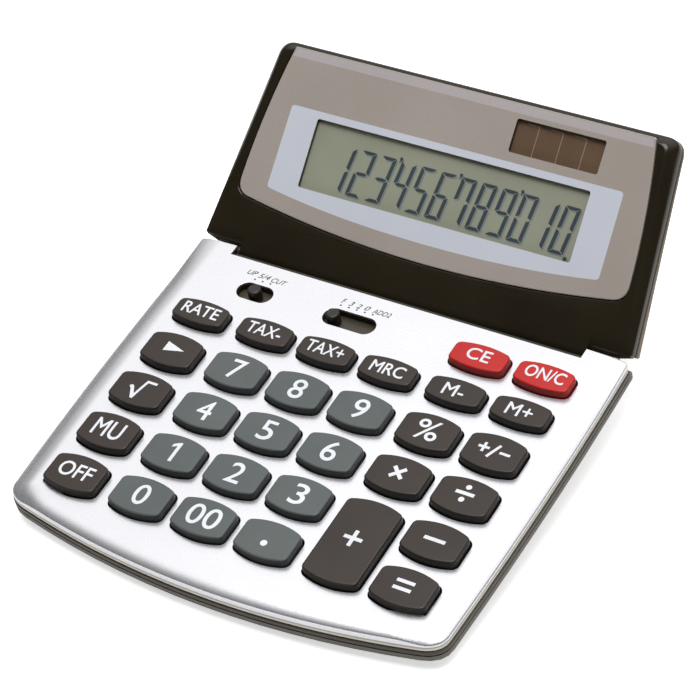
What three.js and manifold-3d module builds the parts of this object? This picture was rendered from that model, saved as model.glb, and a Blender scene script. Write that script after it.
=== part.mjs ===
// Desktop calculator with a tilting display, millimetres, +Z up.
// The body is drawn in the frame of its key deck: X to the right, Y to the rear, the deck's top at Z = 0.
// At the end the deck is leaned back by its rake and the whole is set on the floor, centred on the origin.
import * as THREE from "three";
import { mergeVertices } from "three/addons/utils/BufferGeometryUtils.js";
import Module from "manifold-3d";

const wasm = await Module();
wasm.setup();

// Driving dimensions of the body
const BODY_HALF_WIDTH = 71.5;
const SIDE_BULGE = 0.35;
const FRONT_NARROWING = 1.2;
const BODY_FRONT_Y = -70.3;
const FRONT_BOW = 7.2;
const BODY_REAR_Y = 46.45;
const FRONT_CORNER = 6.8;
const REAR_CORNER = 1.3;
const CASE_EDGE_RISE = 2.1;
const CASE_EDGE_INSET = 2.6;
const CASE_ROUND_INSET = 0.95;
const CASE_ROUND_RISE = 1;
const CASE_REAR_OVERHANG = 1.6;
const CASE_WALL = 1.6;
const CASE_FLOOR = 1.5;
const BOARD_ROOM = 0.6;
const DECK_RAKE_DEGREES = 6;

// Clearances and gaps
const SEAT_GAP = 0.3;
const KEY_CLEARANCE = 0.35;
const SLIDE_CLEARANCE = 0.35;
const SWING_CLEARANCE = 0.5;
const CUT_OVERRUN = 1;
const SAME_POINT = 1e-5;

// Faceplate, a thin sheet with a rolled rim
const PLATE_THICKNESS = 0.8;
const PLATE_SETBACK = 0.3;
const PLATE_REAR_SETBACK = 0.3;
const PLATE_RIM_DEPTH = 4.2;
const PLATE_ROLL_WIDTH = 4.2;
const PLATE_ROLL_DROP = 0.7;
const PLATE_EDGE_RADIUS = 1.2;
const PLATE_REAR_ROLL = 0.4;
const PLATE_TAPER_LENGTH = 16;
const PLATE_REAR_DEPTH_SHARE = 0.5;
const NOTCH_SIDE_DISTANCE = 13.35;
const NOTCH_HALF_WIDTH = BODY_HALF_WIDTH - NOTCH_SIDE_DISTANCE;
const NOTCH_FRONT_Y = 42.25;

// Upper housing
const HOUSING_PLATE = 1.2;
const HOUSING_RIM_DEPTH = 6;
const HOUSING_RIM_WIDTH = 5;
const HOUSING_WALL_INSET = 3.6;
const HOUSING_SLOPE_DEPTH = 0.9;
const PARTING_GROOVE = 0.4;
const NOTCH_WALL_Y = 43.9;

// Keys
const KEY_WIDTH_SHARE = 0.2532;
const KEY_WIDTH = BODY_HALF_WIDTH * KEY_WIDTH_SHARE;
const KEY_HEIGHT = 13.5;
const KEY_END_HEIGHT = 11.1;
const SMALL_KEY_HEIGHT = 10;
const SMALL_KEY_END_HEIGHT = 8.3;
const KEY_CORNER = 2.3;
const KEY_STAND = 2.65;
const KEY_EDGE_DROP = 0.6;
const KEY_EDGE_INSET = 0.45;
const KEY_FLANGE = 0.8;
const KEY_FLANGE_THICKNESS = 1.2;
const KEY_TRAVEL = 1.5;

// Key places on the deck: columns as shares of the body's half width
const COLUMN_SHARES = [-0.7287, -0.421, -0.1343, 0.151, 0.4545, 0.7399];
const RED_ROW_Y = 30.4;
const SMALL_ROW_Y = 16.3;
const MAIN_ROW_Y = [0.2, -16.6, -33.4, -50.2];

// Slide switches
const SLOT_Y = 30.9;
const SLOT_HEIGHT = 6.4;
const SWITCH_STEP_SHARE = 0.0375;
const SWITCH_STEP = BODY_HALF_WIDTH * SWITCH_STEP_SHARE;
const ROUNDING_SLOT_SHARE = -0.5986;
const ROUNDING_SLOT_X = BODY_HALF_WIDTH * ROUNDING_SLOT_SHARE;
const ROUNDING_PLACE_COUNT = 3;
const ROUNDING_REST_INDEX = 1;
const DECIMAL_SLOT_SHARE = -0.1483;
const DECIMAL_SLOT_X = BODY_HALF_WIDTH * DECIMAL_SLOT_SHARE;
const DECIMAL_PLACE_COUNT = 5;
const DECIMAL_REST_INDEX = 0;
const KNOB_RADIUS = 2.1;
const KNOB_STAND = 1.6;
const KNOB_ROUNDING = 0.5;
const CARRIER_MARGIN = 0.3;

// Key mat and main board
const DOME_RADIUS = 4;
const DOME_TOP_RADIUS = 2.6;
const MAT_THICKNESS = 1;
const BOARD_THICKNESS = 1.2;
const BOARD_SIDE_DISTANCE = 10.7;
const BOARD_HALF_WIDTH = BODY_HALF_WIDTH - BOARD_SIDE_DISTANCE;
const MAT_SIDE_DISTANCE = 9.7;
const MAT_HALF_WIDTH = BODY_HALF_WIDTH - MAT_SIDE_DISTANCE;
const BOARD_FRONT_Y = -56;
const BOARD_REAR_Y = 38;

// Underside: hump, pads and feet, upright to the floor and not to the deck
const FOOT_RADIUS = 5;
const FOOT_RECESS = 0.6;
const FOOT_STAND = 1.2;
const FOOT_BEVEL = 0.4;
const PAD_RADIUS = 6.5;
const FRONT_FOOT_SIDE_DISTANCE = 19.5;
const FRONT_FOOT_X = BODY_HALF_WIDTH - FRONT_FOOT_SIDE_DISTANCE;
const FRONT_FOOT_Y = -53;
const REAR_FOOT_SIDE_DISTANCE = 22.5;
const REAR_FOOT_X = BODY_HALF_WIDTH - REAR_FOOT_SIDE_DISTANCE;
const REAR_FOOT_Y = 33;
const FRONT_PAD_STAND = 1.2;
const HUMP_SIDE_DISTANCE = 11.5;
const HUMP_HALF_WIDTH = BODY_HALF_WIDTH - HUMP_SIDE_DISTANCE;
const HUMP_FRONT_Y = 6;
const HUMP_REAR_Y = 41;
const HUMP_DRAFT = 2.5;
const HUMP_WALL = 1.6;

// Battery bay
const CELL_RADIUS = 5.8;
const CELL_HEIGHT = 5.4;
const CELL_Y = 27;
const COVER_HALF_WIDTH = 13;
const COVER_FRONT_Y = 17.5;
const COVER_THICKNESS = 1.8;
const COVER_TONGUE = 0.9;
const COVER_TONGUE_THICKNESS = 0.7;
const BAY_WALL = 1.2;
const CONTACT_THICKNESS = 0.4;
const CONTACT_WIDTH = 4;

// Case screws
const SCREW_SIDE_DISTANCE = 6.6;
const SCREW_X = BODY_HALF_WIDTH - SCREW_SIDE_DISTANCE;
const FRONT_SCREW_Y = -44;
const REAR_SCREW_Y = 40;
const SCREW_RADIUS = 1.1;
const SCREW_HEAD_RADIUS = 2.2;
const SCREW_HEAD_THICKNESS = 1;
const SCREW_RECESS = 0.3;
const SCREW_LENGTH = 4.6;
const SCREW_SLOT_DEPTH = 0.4;
const SCREW_SLOT_WIDTH = 0.7;
const BOSS_WALL = 1.2;
const SHOULDER_THICKNESS = 1;

// Display head: its front plane is at the hinge's height above the axis
const HINGE_Y = 49.775;
const HINGE_DEPTH = 5;
const DISPLAY_TILT_DEGREES = 38.5;
const BARREL_END_GAP = 0.45;
const BARREL_HALF_LENGTH = NOTCH_HALF_WIDTH - BARREL_END_GAP;
const HEAD_BOTTOM_Y = 1.6;
const HEAD_TOP_Y = 63.7;
const HEAD_SIDE_SETBACK = 0.5;
const HEAD_BOTTOM_HALF_WIDTH = BODY_HALF_WIDTH - HEAD_SIDE_SETBACK;
const HEAD_SIDE_TAPER = 5.4;
const HEAD_TOP_HALF_WIDTH = HEAD_BOTTOM_HALF_WIDTH - HEAD_SIDE_TAPER;
const HEAD_TOP_CORNER = 4.5;
const HEAD_BOTTOM_CORNER = 1.4;
const HEAD_BACK_DEPTH = 8.2;
const HEAD_SIDE_DEPTH_BOTTOM = 6.4;
const HEAD_SIDE_DEPTH_TOP = 7.6;
const HEAD_BACK_WALL = 1.4;
const HEAD_BACK_INSET = 2.4;
const RIM_SLOPE_WIDTH = 3.2;
const RIM_DROP_BOTTOM = 0.5;
const RIM_DROP_TOP = 3.4;
const RIM_SIDE_BOTTOM = 3.4;
const RIM_SIDE_TOP = 2.8;
const HEAD_WALL = 1.6;
const FRONT_WALL = 2.6;
const POCKET_FRONT_Y = 8;

// Hinge
const PIN_RADIUS = 1.8;
const PIN_CLEARANCE = 0.3;
const PIN_INSERTION = 8;
const LUG_RADIUS = 3;
const LUG_WIDTH = 6.5;
const LUG_GAP = 0.8;

// Lens, number window and solar window, on the display's front plane
const LENS_BOTTOM_Y = 10.2;
const LENS_TOP_DISTANCE = 1.4;
const LENS_TOP_Y = HEAD_TOP_Y - LENS_TOP_DISTANCE;
const LENS_SHOULDER_Y = 15.2;
const LENS_TOP_MARGIN = 6.2;
const LENS_TOP_HALF_WIDTH = HEAD_TOP_HALF_WIDTH - LENS_TOP_MARGIN;
const LENS_BOTTOM_MARGIN = 6.6;
const LENS_BOTTOM_HALF_WIDTH = HEAD_BOTTOM_HALF_WIDTH - LENS_BOTTOM_MARGIN;
const LENS_SIDE_BULGE = 0.9;
const LENS_CORNER = 4.2;
const LENS_TOP_CORNER = 2;
const LENS_THICKNESS = 1.2;
const LENS_EDGE = 0.3;
const LCD_SIDE_DISTANCE = 11.8;
const LCD_HALF_WIDTH = LENS_TOP_HALF_WIDTH - LCD_SIDE_DISTANCE;
const LCD_BOTTOM_Y = 19.4;
const LCD_THICKNESS = 1.6;
const SOLAR_WIDTH = 31.3;
const SOLAR_SIDE_SETBACK = 0.9;
const SOLAR_RIGHT_X = LCD_HALF_WIDTH - SOLAR_SIDE_SETBACK;
const SOLAR_LEFT_X = SOLAR_RIGHT_X - SOLAR_WIDTH;
const SOLAR_TOP_DISTANCE = 3.4;
const SOLAR_HEIGHT = 11.9;
const SOLAR_TOP_Y = LENS_TOP_Y - SOLAR_TOP_DISTANCE;
const SOLAR_BOTTOM_Y = SOLAR_TOP_Y - SOLAR_HEIGHT;
const LCD_SOLAR_DISTANCE = 2;
const LCD_TOP_Y = SOLAR_BOTTOM_Y - LCD_SOLAR_DISTANCE;
const SOLAR_THICKNESS = 1.2;
const WINDOW_MARGIN = 0.4;
const DISPLAY_BOARD_OVERLAP = 6.4;
const DISPLAY_BOARD_HALF_WIDTH = LCD_HALF_WIDTH + DISPLAY_BOARD_OVERLAP;
const DISPLAY_BOARD_FRONT_Y = 12;
const DISPLAY_BOARD_TOP_DISTANCE = 4.3;
const DISPLAY_BOARD_REAR_Y = HEAD_TOP_Y - DISPLAY_BOARD_TOP_DISTANCE;

// Flat cable into the hinge barrel
const RIBBON_HALF_WIDTH = 5;
const RIBBON_THICKNESS = 0.5;
const RIBBON_ROLL_RADIUS = 1.1;
const RIBBON_BEND_Y = 42.3;
const RIBBON_BEND_Z = -8;
const RIBBON_SLOT_MARGIN = 0.7;
const RIBBON_SLOT_LEAD_DEGREES = 11;
const DISPLAY_FOLD_DEGREES = 38.5;
const DISPLAY_LIFT_DEGREES = 6.5;

// Counts of steps on round shapes
const ROUND_STEPS = 16;
const FINE_ROUND_STEPS = 24;
const KEY_ARC_STEPS = 3;
const KEY_CORNER_STEPS = 2;
const CURVE_STEPS = 7;
const CORNER_CURVE_STEPS = 4;
const DOME_STEPS = 8;

// Levels under the deck, each worked out from the one above
const HOUSING_TOP_Z = -PLATE_THICKNESS - SEAT_GAP;
const HOUSING_UNDER_Z = HOUSING_TOP_Z - HOUSING_PLATE;
const RIM_TOP_Z = -PLATE_RIM_DEPTH - SEAT_GAP;
const CASE_TOP_Z = -HOUSING_RIM_DEPTH - PARTING_GROOVE;
const FLANGE_TOP_Z = HOUSING_UNDER_Z - SEAT_GAP;
const FLANGE_BOTTOM_Z = FLANGE_TOP_Z - KEY_FLANGE_THICKNESS;
const DOME_TOP_Z = FLANGE_BOTTOM_Z - SEAT_GAP;
const MAT_TOP_Z = DOME_TOP_Z - KEY_TRAVEL;
const MAT_BOTTOM_Z = MAT_TOP_Z - MAT_THICKNESS;
const BOARD_TOP_Z = MAT_BOTTOM_Z - SEAT_GAP;
const BOARD_BOTTOM_Z = BOARD_TOP_Z - BOARD_THICKNESS;
const CASE_FLOOR_Z = BOARD_BOTTOM_Z - BOARD_ROOM;
const CASE_DEPTH = CASE_FLOOR - CASE_FLOOR_Z;
const CASE_EDGE_DEPTH = CASE_DEPTH - CASE_EDGE_RISE;
const CASE_ROUND_DEPTH = CASE_DEPTH - CASE_ROUND_RISE;

const rake = THREE.MathUtils.degToRad(DECK_RAKE_DEGREES);
const tilt = THREE.MathUtils.degToRad(DISPLAY_TILT_DEGREES);

// A point given in the floor's directions, turned into the deck's: the floor leans forward under the deck.
function floorDrop(y, z) {
  return y * Math.sin(rake) + z * Math.cos(rake);
}

// Floor level below the deck's origin: the front pads stand out of the case by a set height.
const PAD_BOTTOM_DROP = floorDrop(FRONT_FOOT_Y, -CASE_DEPTH) - FRONT_PAD_STAND;
const FLOOR_DROP = PAD_BOTTOM_DROP - FOOT_STAND;

const finishes = {
  brushedPlate: { color: 0xd9dadd, roughness: 0.35, metalness: 0.8 },
  blackPlastic: { color: 0x2a241f, roughness: 0.35, metalness: 0 },
  darkCase: { color: 0x4a443f, roughness: 0.5, metalness: 0 },
  darkKey: { color: 0x3a3633, roughness: 0.5, metalness: 0 },
  greyKey: { color: 0x5d6266, roughness: 0.5, metalness: 0 },
  redKey: { color: 0xc8332d, roughness: 0.5, metalness: 0 },
  silicone: { color: 0xb9bdbd, roughness: 0.7, metalness: 0 },
  circuitBoard: { color: 0x2f6b46, roughness: 0.6, metalness: 0 },
  rubber: { color: 0x26262a, roughness: 0.9, metalness: 0 },
  steel: { color: 0xb4b7bb, roughness: 0.3, metalness: 1 },
  cellMetal: { color: 0xc9ccd0, roughness: 0.25, metalness: 1 },
  ribbonFilm: { color: 0xb0793a, roughness: 0.5, metalness: 0 },
  lensPrint: { color: 0x9c9187, roughness: 0.15, metalness: 0.2 },
  liquidCrystal: { color: 0x8d9182, roughness: 0.4, metalness: 0 },
  solarCell: { color: 0x3a2620, roughness: 0.3, metalness: 0 },
};

const materials = {};
for (const [name, look] of Object.entries(finishes)) {
  materials[name] = new THREE.MeshStandardMaterial({ name, ...look });
}

// Turns a closed geometry into a solid for cutting and joining.
function solid(geometry) {
  geometry.deleteAttribute("normal");
  geometry.deleteAttribute("uv");
  const merged = mergeVertices(geometry, SAME_POINT);
  const corners = merged.index.array;
  const triVerts = [];
  for (let i = 0; i < corners.length; i += 3) {
    const [a, b, c] = corners.subarray(i, i + 3);
    if (a !== b && b !== c && c !== a) triVerts.push(a, b, c);
  }
  return new wasm.Manifold(
    new wasm.Mesh({
      numProp: 3,
      vertProperties: merged.attributes.position.array,
      triVerts: new Uint32Array(triVerts),
    }),
  );
}

// Turns a solid back into a geometry that can be drawn.
function geometryOf(body) {
  const made = body.getMesh();
  const geometry = new THREE.BufferGeometry();
  geometry.setAttribute("position", new THREE.BufferAttribute(made.vertProperties, 3));
  geometry.setIndex(new THREE.BufferAttribute(made.triVerts, 1));
  geometry.computeVertexNormals();
  return geometry;
}

function join(first, ...others) {
  return others.reduce((whole, piece) => whole.add(piece), first);
}

function cut(first, ...tools) {
  return tools.reduce((rest, tool) => rest.subtract(tool), first);
}

// Joins rings of equal count, lowest first, each a list of Vector3 running anticlockwise seen from above.
function loft(rings) {
  const count = rings[0].length;
  const positions = rings.flat().flatMap((point) => [point.x, point.y, point.z]);
  const index = [];
  rings.slice(1).forEach((ring, level) => {
    for (let i = 0; i < count; i += 1) {
      const next = (i + 1) % count;
      const low = level * count;
      const high = low + count;
      index.push(low + i, low + next, high + next);
      index.push(low + i, high + next, high + i);
    }
  });
  const flat = (ring) => ring.map((point) => new THREE.Vector2(point.x, point.y));
  const lastRing = (rings.length - 1) * count;
  for (const [a, b, c] of THREE.ShapeUtils.triangulateShape(flat(rings[0]), [])) {
    index.push(a, c, b);
  }
  for (const [a, b, c] of THREE.ShapeUtils.triangulateShape(flat(rings.at(-1)), [])) {
    index.push(lastRing + a, lastRing + b, lastRing + c);
  }
  const geometry = new THREE.BufferGeometry();
  geometry.setAttribute("position", new THREE.Float32BufferAttribute(positions, 3));
  geometry.setIndex(index);
  return solid(geometry);
}

// Lifts a flat outline to a level, which may depend on the point.
function ring(outline, level) {
  return outline.map((p) => new THREE.Vector3(p.x, p.y, typeof level === "function" ? level(p) : level));
}

function prism(outline, bottom, top) {
  return loft([ring(outline, bottom), ring(outline, top)]);
}

function block(x0, x1, y0, y1, z0, z1) {
  const corners = [
    [x0, y0],
    [x1, y0],
    [x1, y1],
    [x0, y1],
  ];
  return prism(
    corners.map(([x, y]) => new THREE.Vector2(x, y)),
    z0,
    z1,
  );
}

// A turned piece about an upright axis: its profile runs from the axis at the bottom to the axis at the top.
function turned(profile, x, y, steps = ROUND_STEPS) {
  const points = profile.map(([radius, z]) => new THREE.Vector2(radius, z));
  return solid(new THREE.LatheGeometry(points, steps).rotateX(Math.PI / 2)).translate([x, y, 0]);
}

function post(radius, x, y, z0, z1, steps = ROUND_STEPS) {
  const profile = [
    [0, z0],
    [radius, z0],
    [radius, z1],
    [0, z1],
  ];
  return turned(profile, x, y, steps);
}

// A rod that lies along X.
function rod(radius, x0, x1, y, z, steps = ROUND_STEPS) {
  const cylinder = new THREE.CylinderGeometry(radius, radius, x1 - x0, steps).rotateZ(Math.PI / 2);
  return solid(cylinder).translate([(x0 + x1) / 2, y, z]);
}

// Turns a solid drawn in the floor's directions into the deck's.
function fromFloor(body) {
  return body.rotate([-DECK_RAKE_DEGREES, 0, 0]);
}

function anticlockwise(points) {
  const tidy = points.filter((p, i) => p.distanceTo(points[(i + 1) % points.length]) > SAME_POINT);
  return THREE.ShapeUtils.isClockWise(tidy) ? tidy.reverse() : tidy;
}

// The body's outline: bowed front, sides that swell a little, round front corners.
function bodyOutline(inset, rearInset = inset) {
  const widest = BODY_HALF_WIDTH - inset;
  const rearX = widest - SIDE_BULGE;
  const cornerX = rearX - FRONT_NARROWING;
  const swellX = widest + SIDE_BULGE + FRONT_NARROWING / 2;
  const rearY = BODY_REAR_Y - rearInset;
  const rearCorner = Math.min(Math.max(REAR_CORNER - rearInset, SEAT_GAP), REAR_CORNER);
  const frontCorner = Math.max(FRONT_CORNER - inset, SEAT_GAP);
  const frontY = BODY_FRONT_Y + inset;
  const frontX = cornerX - frontCorner;
  const bowEndY = frontY + FRONT_BOW;
  const slope = (2 * FRONT_BOW) / frontX;
  const cornerY = bowEndY + slope * frontCorner;
  const sideY = bowEndY + frontCorner;
  const middleY = (rearY - rearCorner + sideY) / 2;
  const points = [];
  const bend = (from, control, to, steps) => {
    const curve = new THREE.QuadraticBezierCurve(
      new THREE.Vector2(...from),
      new THREE.Vector2(...control),
      new THREE.Vector2(...to),
    );
    points.push(...curve.getPoints(steps).slice(0, -1));
  };
  bend([frontX, bowEndY], [cornerX, cornerY], [cornerX, sideY], CORNER_CURVE_STEPS);
  bend([cornerX, sideY], [swellX, middleY], [rearX, rearY - rearCorner], CURVE_STEPS);
  bend([rearX, rearY - rearCorner], [rearX, rearY], [rearX - rearCorner, rearY], CORNER_CURVE_STEPS);
  bend([rearX - rearCorner, rearY], [0, rearY], [rearCorner - rearX, rearY], 1);
  bend([rearCorner - rearX, rearY], [-rearX, rearY], [-rearX, rearY - rearCorner], CORNER_CURVE_STEPS);
  bend([-rearX, rearY - rearCorner], [-swellX, middleY], [-cornerX, sideY], CURVE_STEPS);
  bend([-cornerX, sideY], [-cornerX, cornerY], [-frontX, bowEndY], CORNER_CURVE_STEPS);
  bend([-frontX, bowEndY], [0, frontY - FRONT_BOW], [frontX, bowEndY], 2 * CURVE_STEPS);
  return points;
}

// A convex polygon of [x, y, corner radius], its corners rounded by one curve each.
function softCorners(corners, steps = CORNER_CURVE_STEPS) {
  const at = ([x, y]) => new THREE.Vector2(x, y);
  return corners.flatMap((corner, i) => {
    const here = at(corner);
    const before = at(corners.at(i - 1));
    const after = at(corners[(i + 1) % corners.length]);
    const reach = (other) => here.clone().add(other.sub(here).setLength(corner[2]));
    return new THREE.QuadraticBezierCurve(reach(before), here, reach(after)).getPoints(steps);
  });
}

// A barrel-shaped key outline: bowed front and rear, straight sides, round corners.
function keyOutline(key, grow) {
  const cornerX = key.width / 2 - KEY_CORNER;
  const middleY = key.height / 2 - KEY_CORNER;
  const cornerY = key.endHeight / 2 - KEY_CORNER;
  const sag = middleY - cornerY;
  const bowRadius = (cornerX ** 2 + sag ** 2) / (2 * sag);
  const halfAngle = Math.asin(cornerX / bowRadius);
  const radius = KEY_CORNER + grow;
  const sweep = (centerX, centerY, reach, from, to, steps, skip) => {
    const points = [];
    for (let i = skip; i <= steps - skip; i += 1) {
      const angle = from + ((to - from) * i) / steps;
      points.push(new THREE.Vector2(centerX + reach * Math.cos(angle), centerY + reach * Math.sin(angle)));
    }
    return points;
  };
  const right = Math.PI / 2 - halfAngle;
  const left = Math.PI / 2 + halfAngle;
  const rearHalf = [
    ...sweep(cornerX, cornerY, radius, 0, right, KEY_CORNER_STEPS, 0),
    ...sweep(0, middleY - bowRadius, bowRadius + radius, right, left, KEY_ARC_STEPS, 1),
    ...sweep(-cornerX, cornerY, radius, left, Math.PI, KEY_CORNER_STEPS, 0),
  ];
  const frontHalf = rearHalf.map((point) => point.clone().negate());
  return [...rearHalf, ...frontHalf].map((point) => point.add(new THREE.Vector2(key.x, key.y)));
}

// The keys, row by row; the tall one stands in both front rows.
const mainKey = { width: KEY_WIDTH, height: KEY_HEIGHT, endHeight: KEY_END_HEIGHT };
const smallKey = { width: KEY_WIDTH, height: SMALL_KEY_HEIGHT, endHeight: SMALL_KEY_END_HEIGHT };
const rowGap = MAIN_ROW_Y[2] - MAIN_ROW_Y[3];
const tallKey = { width: KEY_WIDTH, height: KEY_HEIGHT + rowGap, endHeight: KEY_END_HEIGHT + rowGap };
const tallKeyY = (MAIN_ROW_Y[2] + MAIN_ROW_Y[3]) / 2;

const rows = [
  [RED_ROW_Y, smallKey, [null, null, null, null, "clear_entry", "on_clear"]],
  [SMALL_ROW_Y, smallKey, ["rate", "tax_minus", "tax_plus", "memory_recall", "memory_minus", "memory_plus"]],
  [MAIN_ROW_Y[0], mainKey, ["step_back", "7", "8", "9", "percent", "sign_change"]],
  [MAIN_ROW_Y[1], mainKey, ["root", "4", "5", "6", "multiply", "divide"]],
  [MAIN_ROW_Y[2], mainKey, ["mark_up", "1", "2", "3", null, "subtract"]],
  [MAIN_ROW_Y[3], mainKey, ["off", "0", "00", "point", null, "equals"]],
  [tallKeyY, tallKey, [null, null, null, null, "add", null]],
];
const greyKeys = ["0", "1", "2", "3", "4", "5", "6", "7", "8", "9", "00", "point"];
const redKeys = ["clear_entry", "on_clear"];

const keys = rows.flatMap(([y, form, names]) =>
  names.flatMap((name, column) => (name ? [{ name, x: COLUMN_SHARES[column] * BODY_HALF_WIDTH, y, ...form }] : [])),
);

function keyFinish(name) {
  if (redKeys.includes(name)) return materials.redKey;
  return greyKeys.includes(name) ? materials.greyKey : materials.darkKey;
}

function keyCap(key) {
  const stem = -KEY_CLEARANCE;
  return loft([
    ring(keyOutline(key, KEY_FLANGE), FLANGE_BOTTOM_Z),
    ring(keyOutline(key, stem), FLANGE_TOP_Z),
    ring(keyOutline(key, stem), KEY_STAND - KEY_EDGE_DROP),
    ring(keyOutline(key, stem - KEY_EDGE_INSET), KEY_STAND),
  ]);
}

// Slide switches: the knob stands on a carrier that closes the slot at every position.
const switches = [
  { name: "rounding_switch", slotX: ROUNDING_SLOT_X, places: ROUNDING_PLACE_COUNT, rest: ROUNDING_REST_INDEX },
  { name: "decimal_switch", slotX: DECIMAL_SLOT_X, places: DECIMAL_PLACE_COUNT, rest: DECIMAL_REST_INDEX },
];

function switchTravel(item) {
  return (item.places - 1) * SWITCH_STEP;
}

function slotOutline(item) {
  const radius = SLOT_HEIGHT / 2;
  const shape = new THREE.Shape();
  const half = switchTravel(item) / 2;
  shape.absarc(item.slotX + half, SLOT_Y, radius, -Math.PI / 2, Math.PI / 2, false);
  shape.absarc(item.slotX - half, SLOT_Y, radius, Math.PI / 2, (3 * Math.PI) / 2, false);
  return anticlockwise(shape.getPoints(ROUND_STEPS / 2));
}

function slideKnob(item) {
  const x = item.slotX - switchTravel(item) / 2 + item.rest * SWITCH_STEP;
  const halfLength = switchTravel(item) + SLOT_HEIGHT / 2 + CARRIER_MARGIN;
  const halfWidth = SLOT_HEIGHT / 2 + CARRIER_MARGIN;
  const top = HOUSING_UNDER_Z - SLIDE_CLEARANCE;
  const bottom = MAT_TOP_Z + SLIDE_CLEARANCE;
  const carrier = block(x - halfLength, x + halfLength, SLOT_Y - halfWidth, SLOT_Y + halfWidth, bottom, top);
  const knob = turned(
    [
      [0, (top + bottom) / 2],
      [KNOB_RADIUS, (top + bottom) / 2],
      [KNOB_RADIUS, KNOB_STAND - KNOB_ROUNDING],
      [KNOB_RADIUS - KNOB_ROUNDING, KNOB_STAND],
      [0, KNOB_STAND],
    ],
    x,
    SLOT_Y,
  );
  return join(carrier, knob);
}

function notchCut(frontY, bottom, top) {
  const rearY = BODY_REAR_Y + CASE_REAR_OVERHANG + CUT_OVERRUN;
  return block(-NOTCH_HALF_WIDTH, NOTCH_HALF_WIDTH, frontY, rearY, bottom, top);
}

// The plate's sides roll down less and less towards the rear: a level there is a share of the level in front.
function rolledTo(level, below = 0) {
  return (point) => {
    const ahead = Math.min((BODY_REAR_Y - point.y) / PLATE_TAPER_LENGTH, 1);
    return level * (PLATE_REAR_DEPTH_SHARE + (1 - PLATE_REAR_DEPTH_SHARE) * ahead) - below;
  };
}

function faceplate() {
  const side = PLATE_SETBACK;
  const rear = PLATE_REAR_SETBACK;
  const sheet = PLATE_THICKNESS;
  const edgeDepth = PLATE_ROLL_DROP + PLATE_EDGE_RADIUS;
  const gentle = PLATE_ROLL_WIDTH - PLATE_EDGE_RADIUS;
  const drawnIn = (inset) => bodyOutline(side + inset, rear + (PLATE_REAR_ROLL * inset) / PLATE_ROLL_WIDTH);
  const edgeRings = [1, 2, 3].map((step) => {
    const angle = (step * Math.PI) / 6;
    const inset = PLATE_EDGE_RADIUS * (1 - Math.cos(angle));
    return ring(drawnIn(inset), rolledTo(PLATE_EDGE_RADIUS * Math.sin(angle) - edgeDepth));
  });
  const outer = loft([
    ring(drawnIn(0), -PLATE_RIM_DEPTH),
    ring(drawnIn(0), rolledTo(-edgeDepth)),
    ...edgeRings,
    ring(drawnIn(PLATE_EDGE_RADIUS + gentle / 2), rolledTo(-PLATE_ROLL_DROP / 4)),
    ring(drawnIn(PLATE_ROLL_WIDTH), 0),
  ]);
  const innerRear = rear + sheet;
  const underEdge = bodyOutline(side + PLATE_EDGE_RADIUS, innerRear + PLATE_REAR_ROLL / 2);
  const inner = loft([
    ring(bodyOutline(side + sheet, innerRear), -PLATE_RIM_DEPTH - CUT_OVERRUN),
    ring(bodyOutline(side + sheet, innerRear), rolledTo(-edgeDepth)),
    ring(underEdge, rolledTo(-PLATE_ROLL_DROP, sheet)),
    ring(bodyOutline(side + PLATE_ROLL_WIDTH, innerRear + PLATE_REAR_ROLL), -sheet),
  ]);
  const through = [-PLATE_RIM_DEPTH - CUT_OVERRUN, CUT_OVERRUN];
  return cut(
    outer,
    inner,
    notchCut(NOTCH_FRONT_Y, ...through),
    ...keys.map((key) => prism(keyOutline(key, 0), ...through)),
    ...switches.map((item) => prism(slotOutline(item), ...through)),
  );
}

// Screw places, the front pair first
const screws = [
  { name: "case_screw_front_left", x: -SCREW_X, y: FRONT_SCREW_Y },
  { name: "case_screw_front_right", x: SCREW_X, y: FRONT_SCREW_Y },
  { name: "case_screw_rear_left", x: -SCREW_X, y: REAR_SCREW_Y },
  { name: "case_screw_rear_right", x: SCREW_X, y: REAR_SCREW_Y },
];
const SCREW_HEAD_Z = -CASE_DEPTH + SCREW_RECESS;
const SCREW_NECK_Z = SCREW_HEAD_Z + SCREW_HEAD_THICKNESS;
const SCREW_TIP_Z = SCREW_NECK_Z + SCREW_LENGTH;
const SHOULDER_UNDER_Z = SCREW_NECK_Z + SEAT_GAP;
const SHOULDER_TOP_Z = SHOULDER_UNDER_Z + SHOULDER_THICKNESS;
const SCREW_HOLE_RADIUS = SCREW_RADIUS + SEAT_GAP;

function caseScrew({ x, y }) {
  const body = turned(
    [
      [0, SCREW_HEAD_Z],
      [SCREW_HEAD_RADIUS, SCREW_HEAD_Z],
      [SCREW_HEAD_RADIUS, SCREW_NECK_Z],
      [SCREW_RADIUS, SCREW_NECK_Z],
      [SCREW_RADIUS, SCREW_TIP_Z],
      [0, SCREW_TIP_Z],
    ],
    x,
    y,
    DOME_STEPS,
  );
  const reach = SCREW_HEAD_RADIUS + CUT_OVERRUN;
  const width = SCREW_SLOT_WIDTH / 2;
  const slotTop = SCREW_HEAD_Z + SCREW_SLOT_DEPTH;
  return cut(body, block(x - reach, x + reach, y - width, y + width, SCREW_HEAD_Z - CUT_OVERRUN, slotTop));
}

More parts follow.
